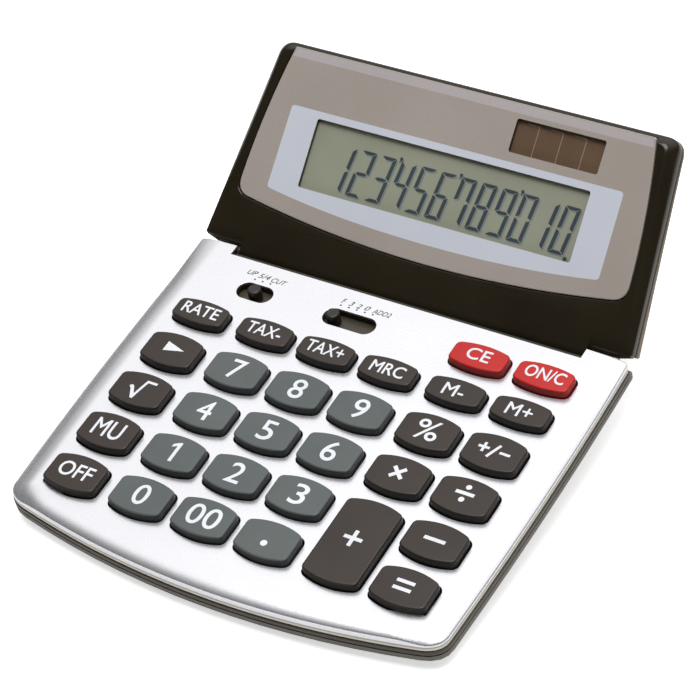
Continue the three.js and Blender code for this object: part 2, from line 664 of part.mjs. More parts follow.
function upperHousing() {
  const rim = prism(bodyOutline(0), -HOUSING_RIM_DEPTH, RIM_TOP_Z);
  const tray = loft([
    ring(bodyOutline(HOUSING_WALL_INSET), -HOUSING_RIM_DEPTH),
    ring(bodyOutline(HOUSING_WALL_INSET), HOUSING_TOP_Z - HOUSING_SLOPE_DEPTH),
    ring(bodyOutline(PLATE_SETBACK + PLATE_ROLL_WIDTH + SEAT_GAP), HOUSING_TOP_Z),
  ]);
  const hollow = prism(bodyOutline(HOUSING_RIM_WIDTH), -HOUSING_RIM_DEPTH - CUT_OVERRUN, HOUSING_UNDER_Z);
  const bossBottom = SHOULDER_TOP_Z + SEAT_GAP;
  const bosses = screws.map(({ x, y }) =>
    post(SCREW_HOLE_RADIUS + BOSS_WALL, x, y, bossBottom, HOUSING_UNDER_Z, ROUND_STEPS),
  );
  const holes = screws.map(({ x, y }) =>
    post(SCREW_HOLE_RADIUS, x, y, bossBottom - CUT_OVERRUN, SCREW_TIP_Z + SEAT_GAP, DOME_STEPS),
  );
  const through = [HOUSING_UNDER_Z - CUT_OVERRUN, HOUSING_TOP_Z + CUT_OVERRUN];
  const windows = keys.map(({ x, y, width, height }) =>
    block(x - width / 2, x + width / 2, y - height / 2, y + height / 2, ...through),
  );
  return cut(
    join(cut(join(rim, tray), hollow), ...bosses),
    notchCut(NOTCH_WALL_Y, -HOUSING_RIM_DEPTH - CUT_OVERRUN, CUT_OVERRUN),
    ...holes,
    ...windows,
    ...switches.map((item) => prism(slotOutline(item), ...through)),
  );
}

function keyMat() {
  const sheet = block(-MAT_HALF_WIDTH, MAT_HALF_WIDTH, BOARD_FRONT_Y, BOARD_REAR_Y, MAT_BOTTOM_Z, MAT_TOP_Z);
  const middle = (MAT_TOP_Z + MAT_BOTTOM_Z) / 2;
  const domePlaces = keys.flatMap(({ x, y, height }) =>
    height > KEY_HEIGHT ? [MAIN_ROW_Y[2], MAIN_ROW_Y[3]].map((rowY) => [x, rowY]) : [[x, y]],
  );
  const domes = domePlaces.map(([x, y]) =>
    turned(
      [
        [0, middle],
        [DOME_RADIUS, middle],
        [DOME_RADIUS, MAT_TOP_Z],
        [DOME_TOP_RADIUS, DOME_TOP_Z],
        [0, DOME_TOP_Z],
      ],
      x,
      y,
      DOME_STEPS,
    ),
  );
  return join(sheet, ...domes);
}

function mainBoard() {
  return block(-BOARD_HALF_WIDTH, BOARD_HALF_WIDTH, BOARD_FRONT_Y, BOARD_REAR_Y, BOARD_BOTTOM_Z, BOARD_TOP_Z);
}

// Underside places, in the floor's directions
const PAD_Z = FLOOR_DROP + FOOT_STAND;
const feet = [
  { name: "foot_front_left", x: -FRONT_FOOT_X, y: FRONT_FOOT_Y },
  { name: "foot_front_right", x: FRONT_FOOT_X, y: FRONT_FOOT_Y },
  { name: "foot_rear_left", x: -REAR_FOOT_X, y: REAR_FOOT_Y },
  { name: "foot_rear_right", x: REAR_FOOT_X, y: REAR_FOOT_Y },
];

function rubberFoot({ x, y }) {
  const top = PAD_Z + FOOT_RECESS - SEAT_GAP;
  return fromFloor(
    turned(
      [
        [0, FLOOR_DROP],
        [FOOT_RADIUS - FOOT_BEVEL, FLOOR_DROP],
        [FOOT_RADIUS, FLOOR_DROP + FOOT_BEVEL],
        [FOOT_RADIUS, top],
        [0, top],
      ],
      x,
      y,
    ),
  );
}

// A point of the floor's directions at a level there, seen in the deck's.
function deckPoint(x, y, z) {
  const deckY = y * Math.cos(rake) + z * Math.sin(rake);
  return new THREE.Vector3(x, deckY, z * Math.cos(rake) - y * Math.sin(rake));
}

// The hump under the rear: upright rear face, other sides drawn in towards the floor.
function humpBody(inset, bottomZ, topZ) {
  const outline = (side, front) =>
    softCorners(
      [
        [-HUMP_HALF_WIDTH + side, HUMP_FRONT_Y + front, REAR_CORNER],
        [HUMP_HALF_WIDTH - side, HUMP_FRONT_Y + front, REAR_CORNER],
        [HUMP_HALF_WIDTH - side, HUMP_REAR_Y - inset, REAR_CORNER],
        [-HUMP_HALF_WIDTH + side, HUMP_REAR_Y - inset, REAR_CORNER],
      ],
      2,
    );
  const low = outline(inset + HUMP_DRAFT, inset + HUMP_DRAFT).map((p) => deckPoint(p.x, p.y, bottomZ));
  const high = outline(inset, inset).map((p) => {
    const foot = deckPoint(p.x, p.y, bottomZ);
    const rise = (topZ - foot.z) / Math.cos(rake);
    return new THREE.Vector3(p.x, foot.y + rise * Math.sin(rake), topZ);
  });
  return loft([low, high]);
}

const COVER_RECESS = COVER_THICKNESS + SEAT_GAP;
const CELL_BOTTOM = PAD_Z + COVER_RECESS + SEAT_GAP;
const CELL_TOP = CELL_BOTTOM + CELL_HEIGHT;
const CELL_WELL_RADIUS = CELL_RADIUS + SWING_CLEARANCE;
const CONTACT_BOTTOM = CELL_TOP + SEAT_GAP;
const WELL_TOP = CONTACT_BOTTOM + CONTACT_THICKNESS + SEAT_GAP;
const SIDE_CONTACT_X = CELL_RADIUS + SEAT_GAP;
const SIDE_POCKET_X = SIDE_CONTACT_X + CONTACT_THICKNESS + SEAT_GAP;

function batteryBayCuts() {
  const rearEnd = HUMP_REAR_Y + CUT_OVERRUN;
  const groove = COVER_HALF_WIDTH + COVER_TONGUE;
  const grooveBottom = PAD_Z + COVER_THICKNESS - COVER_TONGUE_THICKNESS - SLIDE_CLEARANCE;
  const recessTop = PAD_Z + COVER_RECESS;
  const pocketHalf = CONTACT_WIDTH / 2 + SEAT_GAP;
  return [
    block(-COVER_HALF_WIDTH, COVER_HALF_WIDTH, COVER_FRONT_Y, rearEnd, PAD_Z - CUT_OVERRUN, recessTop),
    block(-groove, groove, COVER_FRONT_Y, rearEnd, grooveBottom, recessTop),
    post(CELL_WELL_RADIUS, 0, CELL_Y, PAD_Z, WELL_TOP, ROUND_STEPS),
    block(0, SIDE_POCKET_X, CELL_Y - pocketHalf, CELL_Y + pocketHalf, PAD_Z, WELL_TOP),
  ].map(fromFloor);
}

function lowerCase() {
  const caseOutline = (inset) => bodyOutline(inset, inset - CASE_REAR_OVERHANG);
  const shell = loft([
    ring(caseOutline(CASE_EDGE_INSET), -CASE_DEPTH),
    ring(caseOutline(CASE_ROUND_INSET), -CASE_ROUND_DEPTH),
    ring(caseOutline(0), -CASE_EDGE_DEPTH),
    ring(caseOutline(0), CASE_TOP_Z),
  ]);
  const wallTop = CASE_TOP_Z + CUT_OVERRUN;
  const notchInside = NOTCH_HALF_WIDTH + CASE_WALL;
  const notchFront = NOTCH_WALL_Y - CASE_WALL;
  const hollow = cut(
    prism(bodyOutline(CASE_WALL), CASE_FLOOR_Z, wallTop),
    block(-notchInside, notchInside, notchFront, BODY_REAR_Y, -CASE_DEPTH, wallTop + CUT_OVERRUN),
  );
  const bayHalf = COVER_HALF_WIDTH + COVER_TONGUE + BAY_WALL;
  const bayFront = COVER_FRONT_Y - BAY_WALL;
  const bayRear = HUMP_REAR_Y - HUMP_WALL;
  const bayBottom = PAD_Z + HUMP_WALL / 2;
  const bay = fromFloor(block(-bayHalf, bayHalf, bayFront, bayRear, bayBottom, WELL_TOP + BAY_WALL));
  const pads = feet
    .slice(0, 2)
    .map(({ x, y }) => fromFloor(post(PAD_RADIUS, x, y, PAD_Z, floorDrop(y, -CASE_DEPTH + CASE_FLOOR / 2))));
  const footRecesses = feet.map(({ x, y }) =>
    fromFloor(post(FOOT_RADIUS + SEAT_GAP, x, y, PAD_Z - CUT_OVERRUN, PAD_Z + FOOT_RECESS)),
  );
  const shoulderRadius = SCREW_HEAD_RADIUS + SEAT_GAP + BOSS_WALL;
  const shoulders = screws.map(({ x, y }) => post(shoulderRadius, x, y, -CASE_ROUND_DEPTH, SHOULDER_TOP_Z));
  const screwHoles = screws.flatMap(({ x, y }) => [
    post(SCREW_HEAD_RADIUS + SEAT_GAP, x, y, -CASE_DEPTH - CUT_OVERRUN, SHOULDER_UNDER_Z, DOME_STEPS),
    post(SCREW_HOLE_RADIUS, x, y, -CASE_DEPTH, SHOULDER_TOP_Z + CUT_OVERRUN, DOME_STEPS),
  ]);
  const lugInner = BARREL_HALF_LENGTH + LUG_GAP;
  const lugOuter = lugInner + LUG_WIDTH;
  const lugs = [-lugOuter, lugInner].flatMap((x) => [
    rod(LUG_RADIUS, x, x + LUG_WIDTH, HINGE_Y, -HINGE_DEPTH),
    block(x, x + LUG_WIDTH, NOTCH_WALL_Y, HINGE_Y, -HINGE_DEPTH - LUG_RADIUS, CASE_TOP_Z),
  ]);
  const pinHole = rod(PIN_RADIUS + PIN_CLEARANCE, -BODY_HALF_WIDTH, BODY_HALF_WIDTH, HINGE_Y, -HINGE_DEPTH);
  const ribbonHalf = RIBBON_HALF_WIDTH + RIBBON_SLOT_MARGIN;
  const ribbonTop = RIBBON_BEND_Z + RIBBON_THICKNESS + RIBBON_SLOT_MARGIN;
  const ribbonSlot = block(
    -ribbonHalf,
    ribbonHalf,
    NOTCH_WALL_Y - CASE_WALL - CUT_OVERRUN,
    NOTCH_WALL_Y + CUT_OVERRUN,
    CASE_FLOOR_Z,
    ribbonTop,
  );
  const humpTop = -CASE_DEPTH + CASE_FLOOR / 2;
  const box = join(
    cut(
      join(shell, humpBody(0, PAD_Z, humpTop)),
      notchCut(NOTCH_WALL_Y, -CASE_DEPTH - CUT_OVERRUN, CUT_OVERRUN),
      hollow,
      humpBody(HUMP_WALL, PAD_Z + HUMP_WALL, CASE_FLOOR_Z + CUT_OVERRUN),
    ),
    bay,
    ...pads,
    ...shoulders,
    ...lugs,
  );
  return cut(box, pinHole, ribbonSlot, ...footRecesses, ...screwHoles, ...batteryBayCuts());
}

function batteryCover() {
  const halfWidth = COVER_HALF_WIDTH - SLIDE_CLEARANCE;
  const tongue = halfWidth + COVER_TONGUE;
  const front = COVER_FRONT_Y + SLIDE_CLEARANCE;
  const top = PAD_Z + COVER_THICKNESS;
  return fromFloor(
    join(
      block(-halfWidth, halfWidth, front, HUMP_REAR_Y, PAD_Z, top),
      block(-tongue, tongue, front, HUMP_REAR_Y, top - COVER_TONGUE_THICKNESS, top),
    ),
  );
}

function buttonCell() {
  return fromFloor(post(CELL_RADIUS, 0, CELL_Y, CELL_BOTTOM, CELL_TOP));
}

function topContact() {
  const reach = CELL_RADIUS - CONTACT_THICKNESS;
  const half = CONTACT_WIDTH / 2;
  const top = CONTACT_BOTTOM + CONTACT_THICKNESS;
  return fromFloor(block(-reach, half, CELL_Y - half, CELL_Y + half, CONTACT_BOTTOM, top));
}

function sideContact() {
  const half = CONTACT_WIDTH / 2;
  const outer = SIDE_CONTACT_X + CONTACT_THICKNESS;
  return fromFloor(block(SIDE_CONTACT_X, outer, CELL_Y - half, CELL_Y + half, CELL_BOTTOM, CELL_TOP));
}

function hingePin(side) {
  const inner = BARREL_HALF_LENGTH - PIN_INSERTION;
  const outer = BARREL_HALF_LENGTH + LUG_GAP + LUG_WIDTH;
  const [x0, x1] = side > 0 ? [inner, outer] : [-outer, -inner];
  return rod(PIN_RADIUS, x0, x1, HINGE_Y, -HINGE_DEPTH);
}

// A prism along X of an outline given as [y, z] points.
function sideways(points, x0, x1) {
  const outline = anticlockwise(points.map(([y, z]) => new THREE.Vector2(-z, y)));
  return prism(outline, x0, x1).rotate([0, 90, 0]);
}

// The flat cable: out of the main board, through the case wall and on to a roll on the hinge axis.
function displayRibbon() {
  const startY = BOARD_REAR_Y + SEAT_GAP;
  const startZ = BOARD_BOTTOM_Z;
  const thickness = RIBBON_THICKNESS;
  const axis = [HINGE_Y, -HINGE_DEPTH];
  const strip = sideways(
    [
      [startY, startZ],
      [RIBBON_BEND_Y, RIBBON_BEND_Z],
      [axis[0], axis[1] - thickness / 2],
      [axis[0], axis[1] + thickness / 2],
      [RIBBON_BEND_Y, RIBBON_BEND_Z + thickness],
      [startY, startZ + thickness],
    ],
    -RIBBON_HALF_WIDTH,
    RIBBON_HALF_WIDTH,
  );
  return join(strip, rod(RIBBON_ROLL_RADIUS, -RIBBON_HALF_WIDTH, RIBBON_HALF_WIDTH, ...axis));
}

// Display head, drawn about the hinge axis: Y up its front plane, Z out of it.
const FRONT_Z = HINGE_DEPTH;
const LENS_BACK_Z = FRONT_Z - LENS_THICKNESS;
const LENS_SEAT_Z = LENS_BACK_Z - SEAT_GAP;
const FRONT_WALL_Z = FRONT_Z - FRONT_WALL;
const LCD_TOP_Z = LENS_SEAT_Z;
const LCD_BOTTOM_Z = LCD_TOP_Z - LCD_THICKNESS;
const DISPLAY_BOARD_TOP_Z = LCD_BOTTOM_Z - SEAT_GAP;
const HEAD_BACK_Z = FRONT_Z - HEAD_BACK_DEPTH;

// How far up the head a point lies, from 0 at its lower edge to 1 at its upper edge.
function upTheHead(y) {
  return (y - HEAD_BOTTOM_Y) / (HEAD_TOP_Y - HEAD_BOTTOM_Y);
}

function blendUp(bottom, top, y) {
  return bottom + (top - bottom) * upTheHead(y);
}

function headHalfWidth(y) {
  return blendUp(HEAD_BOTTOM_HALF_WIDTH, HEAD_TOP_HALF_WIDTH, y);
}

function headOutline(inset, bottomY = HEAD_BOTTOM_Y + inset) {
  const topY = HEAD_TOP_Y - inset;
  const low = headHalfWidth(bottomY) - inset;
  const high = headHalfWidth(topY) - inset;
  const bottomCorner = Math.max(HEAD_BOTTOM_CORNER - inset, SEAT_GAP);
  const topCorner = Math.max(HEAD_TOP_CORNER - inset, SEAT_GAP);
  return softCorners([
    [-low, bottomY, bottomCorner],
    [low, bottomY, bottomCorner],
    [high, topY, topCorner],
    [-high, topY, topCorner],
  ]);
}

const rimZ = (p) => FRONT_Z - blendUp(RIM_DROP_BOTTOM, RIM_DROP_TOP, p.y);
const partingZ = (p) => rimZ(p) - blendUp(RIM_SIDE_BOTTOM, RIM_SIDE_TOP, p.y);
const coverTopZ = (p) => partingZ(p) - PARTING_GROOVE;
const coverSideZ = (p) => FRONT_Z - blendUp(HEAD_SIDE_DEPTH_BOTTOM, HEAD_SIDE_DEPTH_TOP, p.y);

// The printed window plate: bowed lower edge, sides that lean in towards the top.
function lensOutline(grow) {
  const low = LENS_BOTTOM_HALF_WIDTH + grow;
  const high = LENS_TOP_HALF_WIDTH + grow;
  const shoulderY = LENS_SHOULDER_Y - grow;
  const middleY = LENS_BOTTOM_Y - grow;
  const topY = LENS_TOP_Y + grow;
  const bowX = low - LENS_CORNER;
  const slope = (2 * (shoulderY - middleY)) / bowX;
  const sideStart = new THREE.Vector2(low, shoulderY + LENS_CORNER * (1 + slope));
  const sideEnd = new THREE.Vector2(high, topY - LENS_TOP_CORNER);
  const sideBend = sideStart.clone().add(sideEnd).divideScalar(2);
  sideBend.x += 2 * LENS_SIDE_BULGE;
  const curve = (from, control, to, steps) =>
    new THREE.QuadraticBezierCurve(from, control, to).getPoints(steps).slice(0, -1);
  const bowStart = new THREE.Vector2(bowX, shoulderY);
  const topStart = new THREE.Vector2(high - LENS_TOP_CORNER, topY);
  const bottomCorner = new THREE.Vector2(low, shoulderY + slope * LENS_CORNER);
  const rightSide = [
    ...curve(bowStart, bottomCorner, sideStart, CORNER_CURVE_STEPS),
    ...curve(sideStart, sideBend, sideEnd, CORNER_CURVE_STEPS),
    ...curve(sideEnd, new THREE.Vector2(high, topY), topStart, CORNER_CURVE_STEPS),
    topStart,
  ];
  const leftSide = rightSide.map((p) => new THREE.Vector2(-p.x, p.y)).reverse();
  const bow = curve(
    leftSide.at(-1),
    new THREE.Vector2(0, 2 * middleY - shoulderY),
    bowStart,
    2 * CORNER_CURVE_STEPS,
  ).slice(1);
  return [...rightSide, ...leftSide, ...bow];
}

function lugRelief() {
  const inner = BARREL_HALF_LENGTH + SEAT_GAP;
  const outer = BARREL_HALF_LENGTH + LUG_GAP + LUG_WIDTH + SWING_CLEARANCE;
  return [
    rod(LUG_RADIUS + SWING_CLEARANCE, inner, outer, 0, 0),
    rod(LUG_RADIUS + SWING_CLEARANCE, -outer, -inner, 0, 0),
  ];
}

// The opening that the cable needs in the barrel over the whole swing.
function ribbonOpening() {
  const cable = Math.atan2(RIBBON_BEND_Z + HINGE_DEPTH, RIBBON_BEND_Y - HINGE_Y) + 2 * Math.PI;
  const lead = THREE.MathUtils.degToRad(RIBBON_SLOT_LEAD_DEGREES);
  const swing = THREE.MathUtils.degToRad(DISPLAY_FOLD_DEGREES + DISPLAY_LIFT_DEGREES);
  const reach = HINGE_DEPTH + CUT_OVERRUN;
  const from = cable - swing - lead;
  const span = swing + 2 * lead;
  const points = [[0, 0]];
  for (let i = 0; i <= DOME_STEPS; i += 1) {
    const angle = from + (span * i) / DOME_STEPS;
    points.push([reach * Math.cos(angle), reach * Math.sin(angle)]);
  }
  const half = RIBBON_HALF_WIDTH + RIBBON_SLOT_MARGIN;
  return sideways(points, -half, half);
}

function windowCut(x0, x1, y0, y1) {
  const m = WINDOW_MARGIN;
  return block(x0 - m, x1 + m, y0 - m, y1 + m, FRONT_WALL_Z - CUT_OVERRUN, FRONT_Z);
}

function displayBezel() {
  const shell = loft([
    ring(headOutline(0), partingZ),
    ring(headOutline(0), rimZ),
    ring(headOutline(RIM_SLOPE_WIDTH), FRONT_Z),
  ]);
  const barrel = rod(HINGE_DEPTH, -BARREL_HALF_LENGTH, BARREL_HALF_LENGTH, 0, 0, FINE_ROUND_STEPS);
  const tongue = block(-BARREL_HALF_LENGTH, BARREL_HALF_LENGTH, 0, POCKET_FRONT_Y, FRONT_WALL_Z, FRONT_Z);
  const pocket = prism(headOutline(HEAD_WALL, POCKET_FRONT_Y), HEAD_BACK_Z - CUT_OVERRUN, FRONT_WALL_Z);
  return cut(
    join(cut(shell, pocket), barrel, tongue),
    rod(PIN_RADIUS + PIN_CLEARANCE, -BODY_HALF_WIDTH, BODY_HALF_WIDTH, 0, 0),
    prism(lensOutline(SEAT_GAP), LENS_SEAT_Z, FRONT_Z + CUT_OVERRUN),
    windowCut(-LCD_HALF_WIDTH, LCD_HALF_WIDTH, LCD_BOTTOM_Y, LCD_TOP_Y),
    windowCut(SOLAR_LEFT_X, SOLAR_RIGHT_X, SOLAR_BOTTOM_Y, SOLAR_TOP_Y),
    ribbonOpening(),
    ...lugRelief(),
  );
}

function displayBackCover() {
  const shell = loft([
    ring(headOutline(HEAD_BACK_INSET), HEAD_BACK_Z),
    ring(headOutline(0), coverSideZ),
    ring(headOutline(0), coverTopZ),
  ]);
  const hollowTop = FRONT_Z;
  const hollow = prism(headOutline(HEAD_WALL, POCKET_FRONT_Y), HEAD_BACK_Z + HEAD_BACK_WALL, hollowTop);
  const barrelEnd = BARREL_HALF_LENGTH + SEAT_GAP;
  const barrelRoom = rod(HINGE_DEPTH + SEAT_GAP, -barrelEnd, barrelEnd, 0, 0, FINE_ROUND_STEPS);
  return cut(shell, hollow, barrelRoom, ...lugRelief());
}

function displayLens() {
  return loft([
    ring(lensOutline(0), LENS_BACK_Z),
    ring(lensOutline(0), FRONT_Z - LENS_EDGE),
    ring(lensOutline(-LENS_EDGE), FRONT_Z),
  ]);
}

function panel(x0, x1, y0, y1, top, thickness) {
  return block(x0, x1, y0, y1, top - thickness, top);
}

const deck = new THREE.Group();
deck.rotation.x = rake;

const head = new THREE.Group();
head.position.set(0, HINGE_Y, -HINGE_DEPTH);
head.rotation.x = tilt;
deck.add(head);

function place(group, name, body, material) {
  const mesh = new THREE.Mesh(geometryOf(body), material);
  mesh.name = name;
  group.add(mesh);
}

place(deck, "faceplate", faceplate(), materials.brushedPlate);
place(deck, "upper_housing", upperHousing(), materials.blackPlastic);
place(deck, "lower_case", lowerCase(), materials.darkCase);
place(deck, "key_mat", keyMat(), materials.silicone);
place(deck, "main_board", mainBoard(), materials.circuitBoard);
for (const key of keys) place(deck, `key_${key.name}`, keyCap(key), keyFinish(key.name));
for (const item of switches) place(deck, item.name, slideKnob(item), materials.blackPlastic);
for (const foot of feet) place(deck, foot.name, rubberFoot(foot), materials.rubber);
for (const screw of screws) place(deck, screw.name, caseScrew(screw), materials.steel);
place(deck, "battery_cover", batteryCover(), materials.darkCase);
place(deck, "button_cell", buttonCell(), materials.cellMetal);
place(deck, "battery_contact_negative", topContact(), materials.cellMetal);
place(deck, "battery_contact_positive", sideContact(), materials.cellMetal);
place(deck, "hinge_pin_left", hingePin(-1), materials.steel);
place(deck, "hinge_pin_right", hingePin(1), materials.steel);
place(deck, "display_ribbon", displayRibbon(), materials.ribbonFilm);

place(head, "display_bezel", displayBezel(), materials.blackPlastic);
place(head, "display_back_cover", displayBackCover(), materials.darkCase);
place(head, "display_lens", displayLens(), materials.lensPrint);
place(
  head,
  "lcd_panel",
  panel(-LCD_HALF_WIDTH, LCD_HALF_WIDTH, LCD_BOTTOM_Y, LCD_TOP_Y, LCD_TOP_Z, LCD_THICKNESS),
  materials.liquidCrystal,
);
place(
  head,
  "solar_panel",
  panel(SOLAR_LEFT_X, SOLAR_RIGHT_X, SOLAR_BOTTOM_Y, SOLAR_TOP_Y, LCD_TOP_Z, SOLAR_THICKNESS),
  materials.solarCell,
);
place(
  head,
  "display_board",
  panel(
    -DISPLAY_BOARD_HALF_WIDTH,
    DISPLAY_BOARD_HALF_WIDTH,
    DISPLAY_BOARD_FRONT_Y,
    DISPLAY_BOARD_REAR_Y,
    DISPLAY_BOARD_TOP_Z,
    BOARD_THICKNESS,
  ),
  materials.circuitBoard,
);

// The calculator stands on the floor, centred on the origin.
const calculator = new THREE.Group();
calculator.add(deck);
calculator.updateMatrixWorld(true);
const reach = new THREE.Box3().setFromObject(calculator, true);
deck.position.set(-(reach.min.x + reach.max.x) / 2, -(reach.min.y + reach.max.y) / 2, -reach.min.z);

export default calculator;
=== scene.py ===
"""A desktop calculator with a tilting display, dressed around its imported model.

Every shape is worked out in millimetres in the working frame of what carries it, and is set
into the row frame, in metres, when its mesh is made.
"""

import logging
import math
from collections.abc import Callable, Sequence
from dataclasses import dataclass, field
from enum import Enum

import bmesh
import bpy
import numpy as np
from mathutils import Matrix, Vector
from mathutils.geometry import delaunay_2d_cdt


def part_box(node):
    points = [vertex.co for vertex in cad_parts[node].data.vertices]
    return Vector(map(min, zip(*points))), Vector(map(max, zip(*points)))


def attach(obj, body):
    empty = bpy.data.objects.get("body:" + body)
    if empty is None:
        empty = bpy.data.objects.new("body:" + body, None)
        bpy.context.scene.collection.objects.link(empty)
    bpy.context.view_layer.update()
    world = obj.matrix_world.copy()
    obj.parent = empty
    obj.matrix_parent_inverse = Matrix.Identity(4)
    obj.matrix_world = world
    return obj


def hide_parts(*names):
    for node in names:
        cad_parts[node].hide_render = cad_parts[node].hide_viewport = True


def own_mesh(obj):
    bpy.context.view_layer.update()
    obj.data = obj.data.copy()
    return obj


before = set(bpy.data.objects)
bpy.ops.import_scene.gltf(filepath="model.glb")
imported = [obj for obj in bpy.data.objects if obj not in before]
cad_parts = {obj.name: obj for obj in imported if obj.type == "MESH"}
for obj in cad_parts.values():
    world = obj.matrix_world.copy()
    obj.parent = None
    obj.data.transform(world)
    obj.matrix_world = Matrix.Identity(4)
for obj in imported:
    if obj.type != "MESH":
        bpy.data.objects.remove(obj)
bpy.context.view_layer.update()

MM = 0.001
WELD_MM = 0.002
SHARP_DEGREES = 32.0
FLAT_DEGREES = 0.6
QUARTER_STEPS = (0, 30, 60, 90)
INK_MM = 0.02
INK_STEP_MM = 0.7
TINY = 1e-9
POINTS_AT_ONCE = 400
# Noise seldom leaves these spans, so colours and roughness are spread over them.
TONE_SPAN = (0.35, 0.65)
ROUGH_SPAN = (0.3, 0.7)
PHOTO_PIXELS = 700
SENSOR_MM = 36.0

log = logging.getLogger("calculator")


# Working frames


@dataclass(frozen=True)
class Lean:
    """A working frame in millimetres, leaned back about X and set down in the row frame.

    Attributes:
        degrees: The lean about X.
        origin: Where its origin lies in the row frame, in millimetres.
    """

    degrees: float
    origin: tuple[float, float, float] = (0.0, 0.0, 0.0)

    def turn(self, vectors: np.ndarray) -> np.ndarray:
        """Turns directions about X: y' = y cos a - z sin a, z' = y sin a + z cos a.

        Args:
            vectors: Directions of the working frame, one row each.

        Returns:
            The same directions in the row frame.
        """
        angle = math.radians(self.degrees)
        x, y, z = np.asarray(vectors, float).reshape(-1, 3).T
        across = y * math.cos(angle) - z * math.sin(angle)
        up = y * math.sin(angle) + z * math.cos(angle)
        return np.column_stack([x, across, up])

    def row(self, points: np.ndarray) -> np.ndarray:
        """Row-frame places, in metres, of points in millimetres."""
        return (self.turn(points) + np.array(self.origin)) * MM

    def local(self, points: np.ndarray) -> np.ndarray:
        """The way back: points in metres in the row frame, as millimetres in this one."""
        return Lean(-self.degrees).turn(np.asarray(points) / MM - np.array(self.origin))


@dataclass(frozen=True)
class Frames:
    """The working frames of the key deck and of the display head.

    Attributes:
        rake: Lean of the deck on the floor, in degrees.
        tilt: Lean of the head on the deck, in degrees.
        hinge_y: Place of the hinge axis on the deck.
        hinge_depth: How far the axis lies under the deck's top.
        board_front: Front edge of the main board in the deck's frame.
        board_levels: Levels of its two sides there, the upper one first.
    """

    rake: float = 6.0
    tilt: float = 38.5
    hinge_y: float = 49.775
    hinge_depth: float = 5.0
    board_front: float = -56.0
    board_levels: tuple[float, float] = (-6.9, -8.1)

    def deck(self) -> Lean:
        """The deck's frame, found from the main board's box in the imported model.

        Returns:
            The frame with X to the right, Y to the rear and the deck's top at Z = 0.
        """
        low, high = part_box("main_board")
        corners = np.array([[0, self.board_front, level] for level in self.board_levels])
        upper, lower = Lean(self.rake).turn(corners)
        return Lean(self.rake, ((low.x + high.x) / 2 / MM, low.y / MM - upper[1], low.z / MM - lower[2]))

    def head(self) -> Lean:
        """The head's frame: origin on the hinge axis, Y up its front plane, Z out of it."""
        deck = self.deck()
        hinge = deck.row(np.array([[0.0, self.hinge_y, -self.hinge_depth]]))[0] / MM
        return Lean(self.rake + self.tilt, tuple(hinge))


# Curves and regions


def bend(start: Sequence[float], control: Sequence[float], end: Sequence[float], steps: int) -> np.ndarray:
    """Points of a quadratic curve, (1-t)^2 start + 2t(1-t) control + t^2 end for t from 0 to 1.

    Args:
        start: First point.
        control: Point that the curve bends towards.
        end: Last point.
        steps: Count of steps of t.

    Returns:
        One row for each point.
    """
    share = np.linspace(0, 1, steps + 1)[:, None]
    start, control, end = (np.asarray(p, float) for p in (start, control, end))
    return (1 - share) ** 2 * start + 2 * share * (1 - share) * control + share**2 * end


def straight(start: Sequence[float], end: Sequence[float], steps: int) -> np.ndarray:
    """Points at even shares of the way from start to end."""
    return np.linspace(np.asarray(start, float), np.asarray(end, float), steps + 1)


def arc(centre: Sequence[float], radius: float, first: float, last: float, steps: int) -> np.ndarray:
    """Points of an arc, centre + radius (cos a, sin a) for a from first to last.

    Args:
        centre: Centre of the arc.
        radius: Its radius.
        first: First angle, in radians.
        last: Last angle, in radians.
        steps: Count of steps of the angle.

    Returns:
        One row for each point.
    """
    angle = np.linspace(first, last, steps + 1)
    return np.column_stack([centre[0] + radius * np.cos(angle), centre[1] + radius * np.sin(angle)])


def rounding(radius: float, degrees: Sequence[float]) -> list[tuple[float, float]]:
    """A quarter round at some angles: how far it leans in, r (1 - cos a), and has to go, r (1 - sin a)."""
    return [(radius * (1 - math.cos(a)), radius * (1 - math.sin(a))) for a in np.radians(degrees)]


def unit(vector: np.ndarray) -> np.ndarray:
    """A direction of length one."""
    return vector / np.linalg.norm(vector)


def chain(*runs: np.ndarray) -> np.ndarray:
    """Joins runs end to start, each shared point once."""
    return np.concatenate([runs[0]] + [run[1:] for run in runs[1:]])


def flipped(run: np.ndarray) -> np.ndarray:
    """A run's mirror image about the middle line, the other way round."""
    return run[::-1] * np.array([-1.0, 1.0])


def mirrored(right: np.ndarray) -> np.ndarray:
    """A right half from the middle line and its mirror image, as one run."""
    return chain(right, flipped(right))


def opened(loop: np.ndarray) -> np.ndarray:
    """A closed outline without its repeated last point."""
    return loop[:-1] if np.allclose(loop[0], loop[-1]) else loop


def closed(loop: np.ndarray) -> np.ndarray:
    """An outline with its first point again at the end."""
    loop = opened(loop)
    return np.concatenate([loop, loop[:1]])


def rounded_box(x0: float, x1: float, y0: float, y1: float, radius: float, steps: int = 6) -> np.ndarray:
    """Closed outline of a rectangle with a quarter circle at each corner.

    Args:
        x0: Left side.
        x1: Right side.
        y0: Lower side.
        y1: Upper side.
        radius: Radius of the corners.
        steps: Steps in each quarter.

    Returns:
        The outline, anticlockwise, its first point again at the end.
    """
    quarter = math.pi / 2
    left, right, low, high = x0 + radius, x1 - radius, y0 + radius, y1 - radius
    centres = ((right, low), (right, high), (left, high), (left, low))
    runs = [arc(c, radius, (i - 1) * quarter, i * quarter, steps) for i, c in enumerate(centres)]
    return closed(np.concatenate(runs))


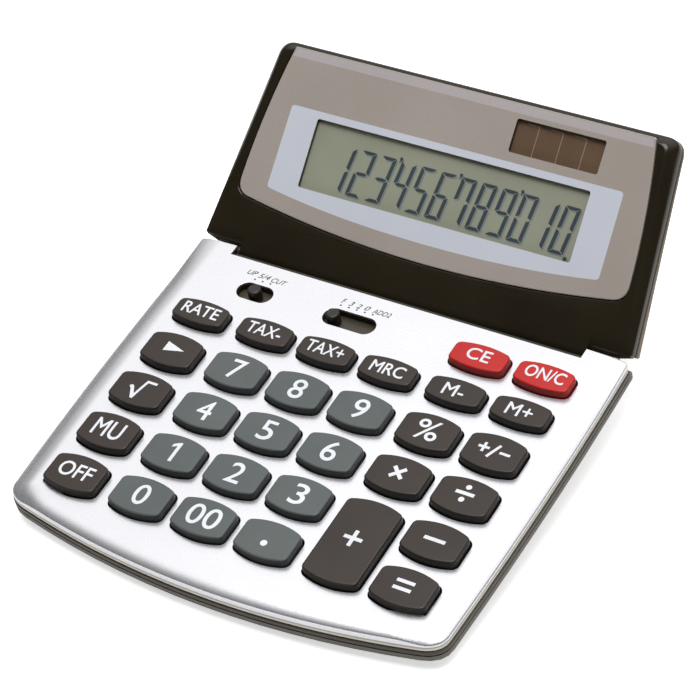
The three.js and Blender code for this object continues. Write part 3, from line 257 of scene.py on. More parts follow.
def within(points: np.ndarray, loops: Sequence[np.ndarray]) -> np.ndarray:
    """Says which points lie inside: a ray to their right crosses the loops an odd number of times.

    Args:
        points: The points to test, one row each.
        loops: Outer outline and holes, each without a repeated last point.

    Returns:
        True for each point inside the outer outline and outside the holes.
    """
    start = np.concatenate(list(loops))
    end = np.concatenate([np.roll(loop, -1, axis=0) for loop in loops])
    rise = end[:, 1] - start[:, 1]
    rise = np.where(rise == 0, np.inf, rise)
    inside = []
    for part in np.array_split(points, max(1, len(points) // POINTS_AT_ONCE)):
        x, y = part[:, 0, None], part[:, 1, None]
        spans = (start[:, 1] > y) != (end[:, 1] > y)
        meets = start[:, 0] + (y - start[:, 1]) * (end[:, 0] - start[:, 0]) / rise
        inside.append((spans & (meets > x)).sum(axis=1) % 2 == 1)
    return np.concatenate(inside)


Level = float | np.ndarray | Callable[[np.ndarray], np.ndarray]


def lifted(outline: np.ndarray, level: Level) -> np.ndarray:
    """An outline in space: at one level, at one for each point, or at levels worked out from its points."""
    height = level(outline) if callable(level) else level
    return np.column_stack([outline, np.broadcast_to(height, len(outline))])


class Solid:
    """Points and faces of one piece, gathered in millimetres in its working frame."""

    def __init__(self) -> None:
        """Starts with nothing in it."""
        self.points: list[np.ndarray] = []
        self.faces: list[tuple[list[list[int]], int]] = []
        self.count = 0

    def take(self, points: np.ndarray) -> int:
        """Adds points.

        Args:
            points: The points, in an array of any shape whose last axis is X, Y and Z.

        Returns:
            The number of the first of them.
        """
        self.points.append(np.asarray(points, float).reshape(-1, 3))
        self.count += len(self.points[-1])
        return self.count - len(self.points[-1])

    def grid(self, rings: Sequence[np.ndarray], mark: int = 0) -> "Solid":
        """Spans rings of equal count: point i of ring k joins i + 1 and the same two of ring k + 1.

        Args:
            rings: The rings, each an array of points.
            mark: Which of the piece's materials the faces take.

        Returns:
            The solid itself.
        """
        stack = np.stack([np.asarray(ring, float) for ring in rings])
        rows, across = stack.shape[:2]
        index = self.take(stack) + np.arange(rows * across).reshape(rows, across)
        quads = np.stack([index[:-1, :-1], index[:-1, 1:], index[1:, 1:], index[1:, :-1]], axis=-1)
        self.faces.append((quads.reshape(-1, 4).tolist(), mark))
        return self

    def face(self, loop: np.ndarray, mark: int = 0) -> "Solid":
        """Closes a flat loop with one face.

        Args:
            loop: Points round the face.
            mark: Which of the piece's materials it takes.

        Returns:
            The solid itself.
        """
        loop = opened(np.asarray(loop, float))
        first = self.take(loop)
        self.faces.append(([list(range(first, first + len(loop)))], mark))
        return self

    def loft(self, rings: Sequence[np.ndarray], mark: int = 0) -> "Solid":
        """Spans closed rings and closes the first and the last with a face."""
        return self.grid(rings, mark).face(rings[0], mark).face(rings[-1], mark)

    def prism(self, outline: np.ndarray, bottom: Level, top: Level, mark: int = 0) -> "Solid":
        """A closed prism of an outline between two levels."""
        return self.loft([lifted(closed(outline), level) for level in (bottom, top)], mark)

    def turned(
        self, profile: Sequence[Sequence[float]], x: float, y: float, steps: int = 48, mark: int = 0
    ) -> "Solid":
        """Turns a profile about an upright line: (x + r cos a, y + r sin a, z) for a full turn.

        Args:
            profile: Radius and level of each ring, from one end to the other.
            x: Place of the line.
            y: Place of the line.
            steps: Steps of the turn.
            mark: Which of the piece's materials the faces take.

        Returns:
            The solid itself.
        """
        rings = [lifted(arc((x, y), radius, 0, 2 * math.pi, steps), level) for radius, level in profile]
        return self.grid(rings, mark)

    def sheet(
        self,
        outer: np.ndarray,
        holes: Sequence[np.ndarray],
        level: Level,
        mark: int = 0,
        zones: Sequence[tuple[np.ndarray, int]] = (),
    ) -> "Solid":
        """Fills a region with holes by triangles between the outlines' own points.

        Args:
            outer: Outer outline.
            holes: Outlines left open.
            level: Level of the sheet.
            mark: Material of the sheet.
            zones: Outlines within the sheet, each with a material of its own.

        Returns:
            The solid itself.
        """
        bounds = [opened(loop) for loop in (outer, *holes)]
        loops = bounds + [opened(loop) for loop, _ in zones]
        corners = np.concatenate(loops)
        starts = np.cumsum([0] + [len(loop) for loop in loops[:-1]])
        ahead = [first + np.roll(np.arange(len(loop)), -1) for first, loop in zip(starts, loops)]
        edges = list(enumerate(np.concatenate(ahead).tolist()))
        spots, _, triangles, *_ = delaunay_2d_cdt(corners.tolist(), edges, [], 0, 1e-5)
        spots = np.array([tuple(p) for p in spots])
        triangles = np.array(triangles)
        centres = spots[triangles].mean(axis=1)
        kept = within(centres, bounds)
        marks = np.full(len(triangles), mark)
        for loop, zone_mark in zones:
            marks[within(centres, [opened(loop)])] = zone_mark
        start = self.take(lifted(spots, level))
        for each in sorted(set(marks[kept].tolist())):
            self.faces.append(((triangles[kept & (marks == each)] + start).tolist(), each))
        return self

    def mesh(self, name: str, lean: Lean) -> bpy.types.Mesh:
        """Makes the mesh: points set into the row frame, doubles merged, faces turned outwards.

        Args:
            name: The mesh's name.
            lean: The working frame that the points are in.

        Returns:
            The new mesh, in metres.
        """
        made = bpy.data.meshes.new(name)
        faces = [face for part, _ in self.faces for face in part]
        marks = np.concatenate([np.full(len(part), mark) for part, mark in self.faces])
        made.from_pydata(lean.row(np.concatenate(self.points)), [], faces)
        made.polygons.foreach_set("material_index", marks.astype(np.int32))
        weld(made)
        return made


def weld(mesh: bpy.types.Mesh) -> None:
    """Merges doubles, recalculates the faces outwards and makes all but sharp edges smooth."""
    work = bmesh.new()
    work.from_mesh(mesh)
    bmesh.ops.remove_doubles(work, verts=work.verts, dist=WELD_MM * MM)
    bmesh.ops.dissolve_degenerate(work, edges=work.edges, dist=WELD_MM * MM / 4)
    bmesh.ops.recalc_face_normals(work, faces=work.faces)
    work.to_mesh(mesh)
    work.free()
    soften(mesh)


def soften(mesh: bpy.types.Mesh) -> None:
    """Shades a mesh smooth, with a crease where two faces meet at more than an angle."""
    mesh.shade_smooth()
    mesh.set_sharp_from_angle(angle=math.radians(SHARP_DEGREES))


def smoothed_copy(node: str) -> bpy.types.Mesh:
    """A merged, smoothly shaded copy of a node whose shape is right as it is.

    Args:
        node: The node's name.

    Returns:
        A new mesh, flat faces joined again and doubles merged.
    """
    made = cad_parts[node].data.copy()
    made.name = f"{node}_copy"
    work = bmesh.new()
    work.from_mesh(made)
    bmesh.ops.remove_doubles(work, verts=work.verts, dist=WELD_MM * MM)
    bmesh.ops.dissolve_limit(work, angle_limit=math.radians(FLAT_DEGREES), verts=work.verts, edges=work.edges)
    work.to_mesh(made)
    work.free()
    if "custom_normal" in made.attributes:
        made.attributes.remove(made.attributes["custom_normal"])
    soften(made)
    return made


def soft_plate(
    box: Sequence[float], corner: float, steps: int, bottom: float, top: float, softened: float = 0.15
) -> Solid:
    """A flat plate with round corners and softened edges.

    Args:
        box: Its left, right, lower and upper side.
        corner: Radius of its corners.
        steps: Steps in each of them.
        bottom: Its under side.
        top: Its upper side.
        softened: Size of the softened edges.

    Returns:
        The plate.
    """
    x0, x1, y0, y1 = box
    rings = []
    steps_up = ((softened, bottom), (0.0, bottom + softened), (0.0, top - softened), (softened, top))
    for inset, level in steps_up:
        outline = rounded_box(x0 + inset, x1 - inset, y0 + inset, y1 - inset, corner, steps)
        rings.append(lifted(outline, level))
    return Solid().loft(rings)


class Operation(Enum):
    """How one solid is worked with another."""

    CUT = "DIFFERENCE"
    JOIN = "UNION"


def worked(base: bpy.types.Mesh, tool: bpy.types.Mesh, operation: Operation) -> bpy.types.Mesh:
    """Cuts a solid out of another or joins the two.

    Args:
        base: The solid that is kept.
        tool: The solid that is cut out or joined on.
        operation: Which of the two.

    Returns:
        A new mesh; both that came in are removed.
    """
    scene = bpy.context.scene
    pair = [bpy.data.objects.new("work", mesh) for mesh in (base, tool)]
    for obj in pair:
        scene.collection.objects.link(obj)
    step = pair[0].modifiers.new("work", "BOOLEAN")
    step.operation = operation.value
    step.solver = "MANIFOLD"
    step.object = pair[1]
    graph = bpy.context.evaluated_depsgraph_get()
    made = bpy.data.meshes.new_from_object(pair[0].evaluated_get(graph))
    for obj in pair:
        mesh = obj.data
        bpy.data.objects.remove(obj)
        bpy.data.meshes.remove(mesh)
    made.materials.clear()
    soften(made)
    return made


# Materials


def linear(hexadecimal: str) -> tuple[float, float, float, float]:
    """Turns an sRGB hex colour to the linear values that a shader takes.

    Args:
        hexadecimal: Six hex digits.

    Returns:
        Red, green, blue and an alpha of 1.
    """
    parts = [int(hexadecimal[i : i + 2], 16) / 255 for i in (0, 2, 4)]
    red, green, blue = (c / 12.92 if c <= 0.04045 else ((c + 0.055) / 1.055) ** 2.4 for c in parts)
    return red, green, blue, 1.0


def add_node(
    tree: bpy.types.NodeTree, kind: str, inputs: dict | None = None, **settings: object
) -> bpy.types.Node:
    """Adds a node with its settings and links.

    Args:
        tree: Node tree that it goes into.
        kind: The node's type.
        inputs: Values or output sockets for its input sockets, by name or number.
        **settings: The node's own properties.

    Returns:
        The new node.
    """
    made = tree.nodes.new(kind)
    for name, value in settings.items():
        setattr(made, name, value)
    for name, value in (inputs or {}).items():
        if isinstance(value, bpy.types.NodeSocket):
            tree.links.new(value, made.inputs[name])
        else:
            made.inputs[name].default_value = value
    return made


@dataclass(frozen=True)
class Finish:
    """One material as it is on the object: what it is, how it was made and what that shows.

    Attributes:
        name: Common name of the material and how its surface was made.
        low: Its colour where it is darkest, sRGB hex.
        high: Its colour where it is lightest, sRGB hex.
        roughness: Roughness where it is smoothest.
        rougher: What the grain adds to the roughness at most.
        metallic: How far it is a metal.
        ior: Index of refraction; a metal keeps the default.
        grain_mm: Size of the grain.
        grain_depth_mm: Height of the grain's bumps.
        stretch: How many times longer the grain is along X.
        cloud_mm: Size of the slow change of tone, as handling and moulding leave it.
        grain_share: How much of the change of colour comes from the grain, and not the clouds.
        coat: Weight of a clear coat.
        coat_roughness: Its roughness.
        alpha: Opacity.
        anisotropic: How far its gloss is drawn out across the grain.
    """

    name: str
    low: str
    high: str
    roughness: float
    rougher: float = 0.08
    metallic: float = 0.0
    ior: float = 1.5
    grain_mm: float = 0.3
    grain_depth_mm: float = 0.004
    stretch: float = 1.0
    cloud_mm: float = 18.0
    grain_share: float = 0.4
    coat: float = 0.0
    coat_roughness: float = 0.05
    alpha: float = 1.0
    anisotropic: float = 0.0

    def material(self) -> bpy.types.Material:
        """Builds the material once and returns it again on later calls.

        The colour runs from low to high by a mix of fine grain and slow clouds; the grain also
        moves the roughness and lifts a bump.
        """
        if self.name in bpy.data.materials:
            return bpy.data.materials[self.name]
        made = bpy.data.materials.new(self.name)
        made.use_nodes = True
        made.diffuse_color = linear(self.high)
        tree = made.node_tree
        tree.nodes.clear()
        place = add_node(tree, "ShaderNodeTexCoord").outputs["Object"]
        drawn = add_node(tree, "ShaderNodeMapping", {"Vector": place, "Scale": (1 / self.stretch, 1.0, 1.0)})
        fine = {"Vector": drawn.outputs[0], "Scale": 1 / (self.grain_mm * MM), "Detail": 2.0}
        grain = add_node(tree, "ShaderNodeTexNoise", fine).outputs["Fac"]
        slow = {"Vector": place, "Scale": 1 / (self.cloud_mm * MM), "Detail": 3.0}
        clouds = add_node(tree, "ShaderNodeTexNoise", slow).outputs["Fac"]
        mixed = add_node(tree, "ShaderNodeMix", {"Factor": self.grain_share, "A": clouds, "B": grain})
        tone = add_node(tree, "ShaderNodeValToRGB", {"Fac": mixed.outputs["Result"]})
        for element, position, colour in zip(tone.color_ramp.elements, TONE_SPAN, (self.low, self.high)):
            element.position = position
            element.color = linear(colour)
        span = dict(zip(("From Min", "From Max"), ROUGH_SPAN))
        ends = {"To Min": self.roughness, "To Max": self.roughness + self.rougher}
        rough = add_node(tree, "ShaderNodeMapRange", {"Value": grain, **span, **ends})
        bumps = {"Height": grain, "Distance": self.grain_depth_mm * MM, "Strength": 1.0}
        relief = add_node(tree, "ShaderNodeBump", bumps)
        shader = add_node(
            tree,
            "ShaderNodeBsdfPrincipled",
            {
                "Base Color": tone.outputs["Color"],
                "Roughness": rough.outputs["Result"],
                "Normal": relief.outputs["Normal"],
                "Metallic": self.metallic,
                "IOR": self.ior,
                "Coat Weight": self.coat,
                "Coat Roughness": self.coat_roughness,
                "Alpha": self.alpha,
                "Anisotropic": self.anisotropic,
            },
        )
        add_node(tree, "ShaderNodeOutputMaterial", {"Surface": shader.outputs["BSDF"]})
        return made


# Satin anodised aluminium sheet, finely brushed from left to right: nearly white, with a soft
# mirror image of what is above it and a faint sparkle.
ALUMINIUM = Finish(
    "satin_anodised_aluminium", "E9E9ED", "EDEDF1", 0.27, 0.02, 0.78, grain_mm=0.5,
    grain_depth_mm=0.0001, stretch=6.0, cloud_mm=30.0, grain_share=0.35,
)
# The same sheet where it was sheared: dull, and browned by painted shade of the gap.
SHEARED_EDGE_PAINTED_GAP_SHADE = Finish(
    "sheared_aluminium_edge_painted_gap_shade", "8C7F72", "A89C8E", 0.4, 0.15, 0.6, grain_mm=0.15, grain_depth_mm=0.004,
)
# And where it was drawn over the tool's edge: a painted dark reflection, a thin grey-brown line.
RIM_LINE_PAINTED_REFLECTION = Finish(
    "aluminium_rim_line_painted_dark_reflection", "A39E95", "B2ADA4", 0.3, 0.08, 0.75, grain_mm=0.2,
    grain_depth_mm=0.001, stretch=3.0,
)
# The last of the rim, trimmed after drawing: creamier and darker, a painted reflection of the floor.
TRIMMED_RIM_PAINTED_REFLECTION = Finish(
    "trimmed_aluminium_rim_painted_floor_reflection", "D2CCC2", "DCD6CC", 0.3, 0.08, 0.7, grain_mm=0.2,
    grain_depth_mm=0.001, stretch=3.0,
)
# Glossy black-brown ABS, moulded in a polished tool.
GLOSS_ABS = Finish(
    "polished_black_abs", "241F14", "2B261A", 0.16, 0.05, ior=1.4, grain_mm=0.5,
    grain_depth_mm=0.0004, cloud_mm=25.0,
)
# The same ABS with the finer satin of the slide knobs.
KNOB_ABS = Finish(
    "satin_black_abs", "1F1A15", "28221D", 0.34, 0.08, ior=1.5, grain_mm=0.3, grain_depth_mm=0.002,
)
# Brown-grey ABS with the fine spark-eroded texture of the tool.
TEXTURED_ABS = Finish(
    "textured_brown_grey_abs", "72644F", "7F705B", 0.46, 0.14, ior=1.5, grain_mm=0.35, grain_depth_mm=0.007,
)
# Dark ABS of the tray under the plate, seen as the upper dark strip.
TRAY_ABS = Finish(
    "satin_dark_abs", "3C3528", "474031", 0.34, 0.1, ior=1.5, grain_mm=0.3, grain_depth_mm=0.004,
)
def lacquer(name: str, low: str, high: str, roughness: float) -> Finish:
    """Soft-touch lacquer on a key cap: satin, with a very fine orange peel.

    Args:
        name: The material's name.
        low: Darker of its two tones.
        high: Lighter of them.
        roughness: Its least roughness.

    Returns:
        The finish.
    """
    return Finish(name, low, high, roughness, 0.08, ior=1.45, grain_mm=0.28, grain_depth_mm=0.0022)


DARK_CAP = lacquer("satin_dark_key_lacquer", "2D241D", "352C25", 0.36)
GREY_CAP = lacquer("satin_grey_key_lacquer", "535959", "5D6362", 0.36)
RED_CAP = lacquer("satin_red_key_lacquer", "BE150F", "C91D15", 0.36)
# Painted shade on the walls of the caps: each cap colour darkened, for the shade that falls down the walls.
DARK_WALL_PAINTED_SHADE = lacquer("dark_key_wall_painted_shade", "15110D", "1C1712", 0.42)
GREY_WALL_PAINTED_SHADE = lacquer("grey_key_wall_painted_shade", "2C2E2D", "363938", 0.42)
RED_WALL_PAINTED_SHADE = lacquer("red_key_wall_painted_shade", "8E120C", "9C1812", 0.42)
# White pad-printed ink, thin enough to let the edge of a stroke look soft.
WHITE_INK = Finish("white_pad_print_ink", "E4E6EC", "F2F3F8", 0.4, 0.1, grain_mm=0.2, grain_depth_mm=0.001)
GREY_INK = Finish("grey_screen_print_ink", "413E3A", "504C47", 0.5, 0.1, grain_mm=0.2, grain_depth_mm=0.001)
# Acrylic window plate printed from behind: taupe, and silver-blue round the number window.
TAUPE_ACRYLIC = Finish(
    "taupe_back_printed_acrylic", "A89F96", "B1A8A0", 0.14, 0.04, ior=1.49, grain_mm=0.4,
    grain_depth_mm=0.0005, cloud_mm=40.0,
)
# Painted highlight: a paler copy of the lens's acrylic in a strip along its upper edge, where the bevel
# catches the light.
LENS_PAINTED_HIGHLIGHT = Finish(
    "acrylic_with_painted_edge_highlight", "B9B1B1", "C2BABA", 0.16, 0.04, ior=1.49, grain_mm=0.4,
    grain_depth_mm=0.0005, cloud_mm=40.0,
)
SILVER_PRINT = Finish(
    "silver_blue_back_print", "CFD3DE", "D8DCE6", 0.2, 0.05, ior=1.49, grain_mm=0.16, grain_depth_mm=0.001,
    cloud_mm=35.0, grain_share=0.6,
)
# The number panel: olive reflector behind glass, and the dark slate of the segments that are on.
REFLECTOR = Finish(
    "olive_lcd_reflector", "979A88", "A0A38F", 0.3, 0.08, ior=1.5, grain_mm=0.12, grain_depth_mm=0.0006,
)
SEGMENT = Finish(
    "liquid_crystal_segment", "3C454B", "444E54", 0.3, 0.06, ior=1.5, grain_mm=0.3, grain_depth_mm=0.0004,
)
SEGMENT_SHADOW = Finish(
    "lcd_segment_shadow", "7C8483", "838B89", 0.35, 0.06, grain_mm=0.3, grain_depth_mm=0.0004,
)
# Amorphous silicon on glass, brown, with its thin metal fingers.
SOLAR = Finish(
    "amorphous_silicon_glass", "655140", "715B49", 0.14, 0.06, ior=1.52, grain_mm=0.5, grain_depth_mm=0.0004,
)
SOLAR_FINGER = Finish(
    "solar_contact_metal", "8F7F6E", "9C8C7A", 0.35, 0.1, grain_mm=0.2, grain_depth_mm=0.001,
)
# Parts that are seen only from below, through gaps or not at all.
SILICONE = Finish(
    "matt_silicone_rubber", "B0B4B4", "BEC2C2", 0.6, 0.15, ior=1.41, grain_mm=0.4, grain_depth_mm=0.004,
)
BOARD = Finish(
    "green_lacquered_board", "2A6340", "35764D", 0.4, 0.15, grain_mm=1.2, grain_depth_mm=0.006, cloud_mm=6.0,
)
RUBBER = Finish(
    "black_foot_rubber", "1F1F21", "2A2A2C", 0.75, 0.15, ior=1.52, grain_mm=0.25, grain_depth_mm=0.01,
)
STEEL = Finish("zinc_plated_steel", "A9ACB0", "BCBFC3", 0.28, 0.14, 1.0, grain_mm=0.2, grain_depth_mm=0.002)
NICKEL = Finish("nickel_plated_cell", "BDC0C4", "CCCFD2", 0.2, 0.1, 1.0, grain_mm=0.2, grain_depth_mm=0.001)
FILM = Finish(
    "amber_polyimide_film", "A56C2C", "B77D38", 0.3, 0.1, ior=1.7, grain_mm=0.5, grain_depth_mm=0.001,
)

CARRIED_OVER = {
    "main_board": BOARD,
    "display_board": BOARD,
    "button_cell": NICKEL,
    "battery_contact_negative": NICKEL,
    "battery_contact_positive": NICKEL,
    "hinge_pin_left": STEEL,
    "hinge_pin_right": STEEL,
    "display_ribbon": FILM,
    "case_screw_front_left": STEEL,
    "case_screw_front_right": STEEL,
    "case_screw_rear_left": STEEL,
    "case_screw_rear_right": STEEL,
}


def show(
    mesh: bpy.types.Mesh,
    name: str,
    finishes: Sequence[Finish],
    body: str,
    slot: str,
    replaces: Sequence[str] = (),
) -> bpy.types.Object:
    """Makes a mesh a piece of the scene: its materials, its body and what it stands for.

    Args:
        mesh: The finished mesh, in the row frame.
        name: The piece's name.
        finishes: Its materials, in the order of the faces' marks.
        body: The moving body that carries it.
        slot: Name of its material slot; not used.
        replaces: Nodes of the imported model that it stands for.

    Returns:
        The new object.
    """
    obj = bpy.data.objects.new(name, mesh)
    bpy.context.scene.collection.objects.link(obj)
    for finish in finishes:
        obj.data.materials.append(finish.material())
    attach(obj, body)
    if replaces:
        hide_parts(*replaces)
    log.info("%s rides on %s, %d faces", name, body, len(mesh.polygons))
    return obj


# Body


@dataclass(frozen=True)
class BodyPlan:
    """The body seen from above: bowed front, soft front corners, sides that swell a little.

    Attributes:
        half_width: Half of the width near the rear.
        side_bulge: How far the sides swell.
        front_narrowing: How much narrower the front is, each side.
        front_y: Front of the corners.
        front_bow: How far the front bows out past them.
        rear_y: Rear edge.
        front_corner: Size of the front corners.
        rear_corner: Size of the rear corners.
        least_corner: Least size of a corner drawn in.
        notch_half: Half width of the notch for the hinge barrel.
    """

    half_width: float = 71.5
    side_bulge: float = 0.35
    front_narrowing: float = 1.2
    front_y: float = -70.3
    front_bow: float = 7.2
    rear_y: float = 46.45
    front_corner: float = 6.8
    rear_corner: float = 1.3
    least_corner: float = 0.3
    notch_half: float = 58.15

    def path(self, inset: float, rear_inset: float | None = None) -> np.ndarray:
        """The outline drawn in by an inset, from the rear edge right of the notch round the front.

        Corners, sides and front are quadratic curves, mirrored left to right.

        Args:
            inset: How far it is drawn in.
            rear_inset: How far at the rear, where that differs.

        Returns:
            An open run of points, as many for every inset.
        """
        rear_inset = inset if rear_inset is None else rear_inset
        widest = self.half_width - inset
        rear_x = widest - self.side_bulge
        corner_x = rear_x - self.front_narrowing
        swell_x = widest + self.side_bulge + self.front_narrowing / 2
        rear_y = self.rear_y - rear_inset
        rear_corner = min(max(self.rear_corner - rear_inset, self.least_corner), self.rear_corner)
        front_corner = max(self.front_corner - inset, self.least_corner)
        front_y = self.front_y + inset
        front_x = corner_x - front_corner
        bow_y = front_y + self.front_bow
        slope = 2 * self.front_bow / front_x
        side_y = bow_y + front_corner
        middle_y = (rear_y - rear_corner + side_y) / 2
        bow = bend((front_x, bow_y), (0, front_y - self.front_bow), (-front_x, bow_y), 48)
        right = chain(
            straight((self.notch_half, rear_y), (rear_x - rear_corner, rear_y), 6),
            bend((rear_x - rear_corner, rear_y), (rear_x, rear_y), (rear_x, rear_y - rear_corner), 8),
            bend((rear_x, rear_y - rear_corner), (swell_x, middle_y), (corner_x, side_y), 36),
            bend((corner_x, side_y), (corner_x, bow_y + slope * front_corner), (front_x, bow_y), 20),
        )
        return chain(right, bow, flipped(right))


@dataclass(frozen=True)
class KeyForm:
    """A key seen from above: bowed front and rear, round corners.

    Attributes:
        width: Width.
        height: Depth from front to rear at the middle.
        end_height: Depth at the sides.
        corner: Radius of the corners.
    """

    width: float
    height: float
    end_height: float
    corner: float = 2.3

    def outline(self, grow: float = 0.0) -> np.ndarray:
        """The outline about the key's middle, grown by a distance.

        Two corner arcs and a wide arc between them make the rear half; the front half is its
        image turned half round.

        Args:
            grow: How far it is grown.

        Returns:
            A closed outline, its first point again at the end.
        """
        corner_x = self.width / 2 - self.corner
        middle_y = self.height / 2 - self.corner
        corner_y = self.end_height / 2 - self.corner
        sag = middle_y - corner_y
        bow = (corner_x**2 + sag**2) / (2 * sag)
        lean = math.asin(corner_x / bow)
        radius = self.corner + grow
        quarter = math.pi / 2
        rear = chain(
            arc((corner_x, corner_y), radius, 0, quarter - lean, 9),
            arc((0, middle_y - bow), bow + radius, quarter - lean, quarter + lean, 16),
            arc((-corner_x, corner_y), radius, quarter + lean, math.pi, 9),
        )
        return closed(np.concatenate([rear, -rear]))


class Cap(Enum):
    """The three colours of key cap: finish of the top, the darker finish that paints shade on the walls, and
    the name of the material slot.
    """

    DARK = (DARK_CAP, DARK_WALL_PAINTED_SHADE, "dark_key")
    GREY = (GREY_CAP, GREY_WALL_PAINTED_SHADE, "grey_key")
    RED = (RED_CAP, RED_WALL_PAINTED_SHADE, "red_key")


@dataclass(frozen=True)
class Legend:
    """What is printed on a key: letters from the font, or a sign of outlines.

    Attributes:
        text: Letters or digits, or nothing where signs are given.
        width: Width of the letters.
        height: Height of the letters.
        x: Middle of the print, from the key's middle.
        y: Middle of the print, from the key's middle.
        signs: Outlines of the sign, from the key's middle.
    """

    text: str = ""
    width: float = 0.0
    height: float = 7.3
    x: float = 0.0
    y: float = 0.35
    signs: tuple[np.ndarray, ...] = ()


def spun(points: np.ndarray, degrees: float) -> np.ndarray:
    """Turns flat points about the origin."""
    angle = math.radians(degrees)
    return points @ np.array([[math.cos(angle), math.sin(angle)], [-math.sin(angle), math.cos(angle)]])


def bar(length: float, thick: float, x: float = 0.0, y: float = 0.0, degrees: float = 0.0) -> np.ndarray:
    """Outline of a bar about its middle, turned by an angle."""
    corners = np.array([[-1, -1], [1, -1], [1, 1], [-1, 1]]) * np.array([length / 2, thick / 2])
    return spun(corners, degrees) + np.array([x, y])


def cross(length: float, thick: float, x: float, y: float, degrees: float = 0.0) -> np.ndarray:
    """Outline of two bars crossing at their middles: one corner in each quarter, turned four times.

    Args:
        length: Length of each bar.
        thick: Width of each bar.
        x: Place of the crossing.
        y: Place of the crossing.
        degrees: How far the cross is turned.

    Returns:
        The outline, without a repeated last point.
    """
    far, near = length / 2, thick / 2
    quarter = np.array([[far, -near], [far, near], [near, near]])
    corners = np.concatenate([spun(quarter, 90.0 * turn) for turn in range(4)])
    return spun(corners, degrees) + np.array([x, y])


def disc(radius: float, x: float, y: float) -> np.ndarray:
    """Outline of a disc."""
    return opened(arc((x, y), radius, 0, 2 * math.pi, 20))


def letters(text: str, slant: float) -> list[np.ndarray]:
    """The outlines of a line of letters, as the font draws them.

    Args:
        text: The line.
        slant: How far the letters lean.

    Returns:
        One closed outline for each contour, without a repeated last point.
    """
    curve = bpy.data.curves.new("letters", "FONT")
    curve.body = text
    curve.fill_mode = "NONE"
    curve.shear = slant
    curve.resolution_u = 5
    holder = bpy.data.objects.new("letters", curve)
    bpy.context.scene.collection.objects.link(holder)
    graph = bpy.context.evaluated_depsgraph_get()
    made = bpy.data.meshes.new_from_object(holder.evaluated_get(graph))
    points = np.empty(len(made.vertices) * 3)
    made.vertices.foreach_get("co", points)
    pairs = np.empty(len(made.edges) * 2, np.int32)
    made.edges.foreach_get("vertices", pairs)
    pairs = pairs.reshape(-1, 2)
    ends = np.sort(pairs[np.abs(pairs[:, 1] - pairs[:, 0]) != 1].max(axis=1)) + 1
    bpy.data.objects.remove(holder)
    bpy.data.curves.remove(curve)
    bpy.data.meshes.remove(made)
    return np.split(points.reshape(-1, 3)[:, :2], ends[:-1])


def grown(loop: np.ndarray, distance: float, least: float = 0.75) -> np.ndarray:
    """Moves an outline's points outwards along the corner's half angle, less at sharp corners.

    Args:
        loop: Outline without a repeated last point; a hole runs the other way round.
        distance: How far each side is moved.
        least: Least cosine of the half angle that a move is stretched by.

    Returns:
        The moved outline.
    """
    ahead = np.roll(loop, -1, axis=0) - loop
    ahead /= np.maximum(np.linalg.norm(ahead, axis=1, keepdims=True), TINY)
    side = np.column_stack([ahead[:, 1], -ahead[:, 0]])
    corner = side + np.roll(side, 1, axis=0)
    corner /= np.maximum(np.linalg.norm(corner, axis=1, keepdims=True), TINY)
    reach = np.maximum((corner * side).sum(axis=1, keepdims=True), least)
    return loop + corner * distance / reach


def stepped(loop: np.ndarray, step: float) -> np.ndarray:
    """Adds points to an outline so that no side is longer than a step.

    Args:
        loop: The outline, without a repeated last point.
        step: Longest side that is left.

    Returns:
        The outline with the points added.
    """
    ahead = np.roll(loop, -1, axis=0)
    counts = np.maximum(np.ceil(np.linalg.norm(ahead - loop, axis=1) / step).astype(int), 1)
    which = np.repeat(np.arange(len(loop)), counts)
    first = np.repeat(np.cumsum(counts) - counts, counts)
    share = ((np.arange(len(which)) - first) / counts[which])[:, None]
    return loop[which] + (ahead[which] - loop[which]) * share


def area(loop: np.ndarray) -> float:
    """Signed area of an outline, positive where it runs anticlockwise."""
    ahead = np.roll(loop, -1, axis=0)
    return float((loop[:, 0] * ahead[:, 1] - loop[:, 1] * ahead[:, 0]).sum() / 2)


def lettering(
    text: str, size: tuple[float, float], middle: tuple[float, float], weight: float, slant: float = 0.0
) -> list[np.ndarray]:
    """Outlines of letters, stretched to a size about a middle, with their strokes made heavier.

    Args:
        text: The line of letters.
        size: Width and height of the line.
        middle: Its middle.
        weight: How far each stroke is grown to either side.
        slant: How far the letters lean.

    Returns:
        The outlines.
    """
    loops = letters(text, slant)
    spots = np.concatenate(loops)
    low, high = spots.min(axis=0), spots.max(axis=0)
    scale = (np.array(size) - 2 * weight) / (high - low)
    placed = [(loop - (low + high) / 2) * scale for loop in loops]
    largest = max(placed, key=lambda loop: abs(area(loop)))
    way = 1 if area(largest) > 0 else -1
    return [grown(loop[::way], weight) + np.array(middle) for loop in placed]


def inked(solid: Solid, loops: Sequence[np.ndarray], level: Level, thick: float = INK_MM) -> None:
    """Adds a layer of ink with the given outlines, laid on a surface.

    Args:
        solid: The solid that takes it.
        loops: Outlines and holes; what lies inside an odd number of them is inked.
        level: Level of the surface.
        thick: How far the layer reaches over and under it.
    """
    loops = [stepped(opened(loop), INK_STEP_MM) for loop in loops]
    under = (lambda p: level(p) - thick) if callable(level) else level - thick
    over = (lambda p: level(p) + thick) if callable(level) else level + thick
    for height in (under, over):
        solid.sheet(loops[0], loops[1:], height)
    for loop in loops:
        solid.grid([lifted(closed(loop), under), lifted(closed(loop), over)])


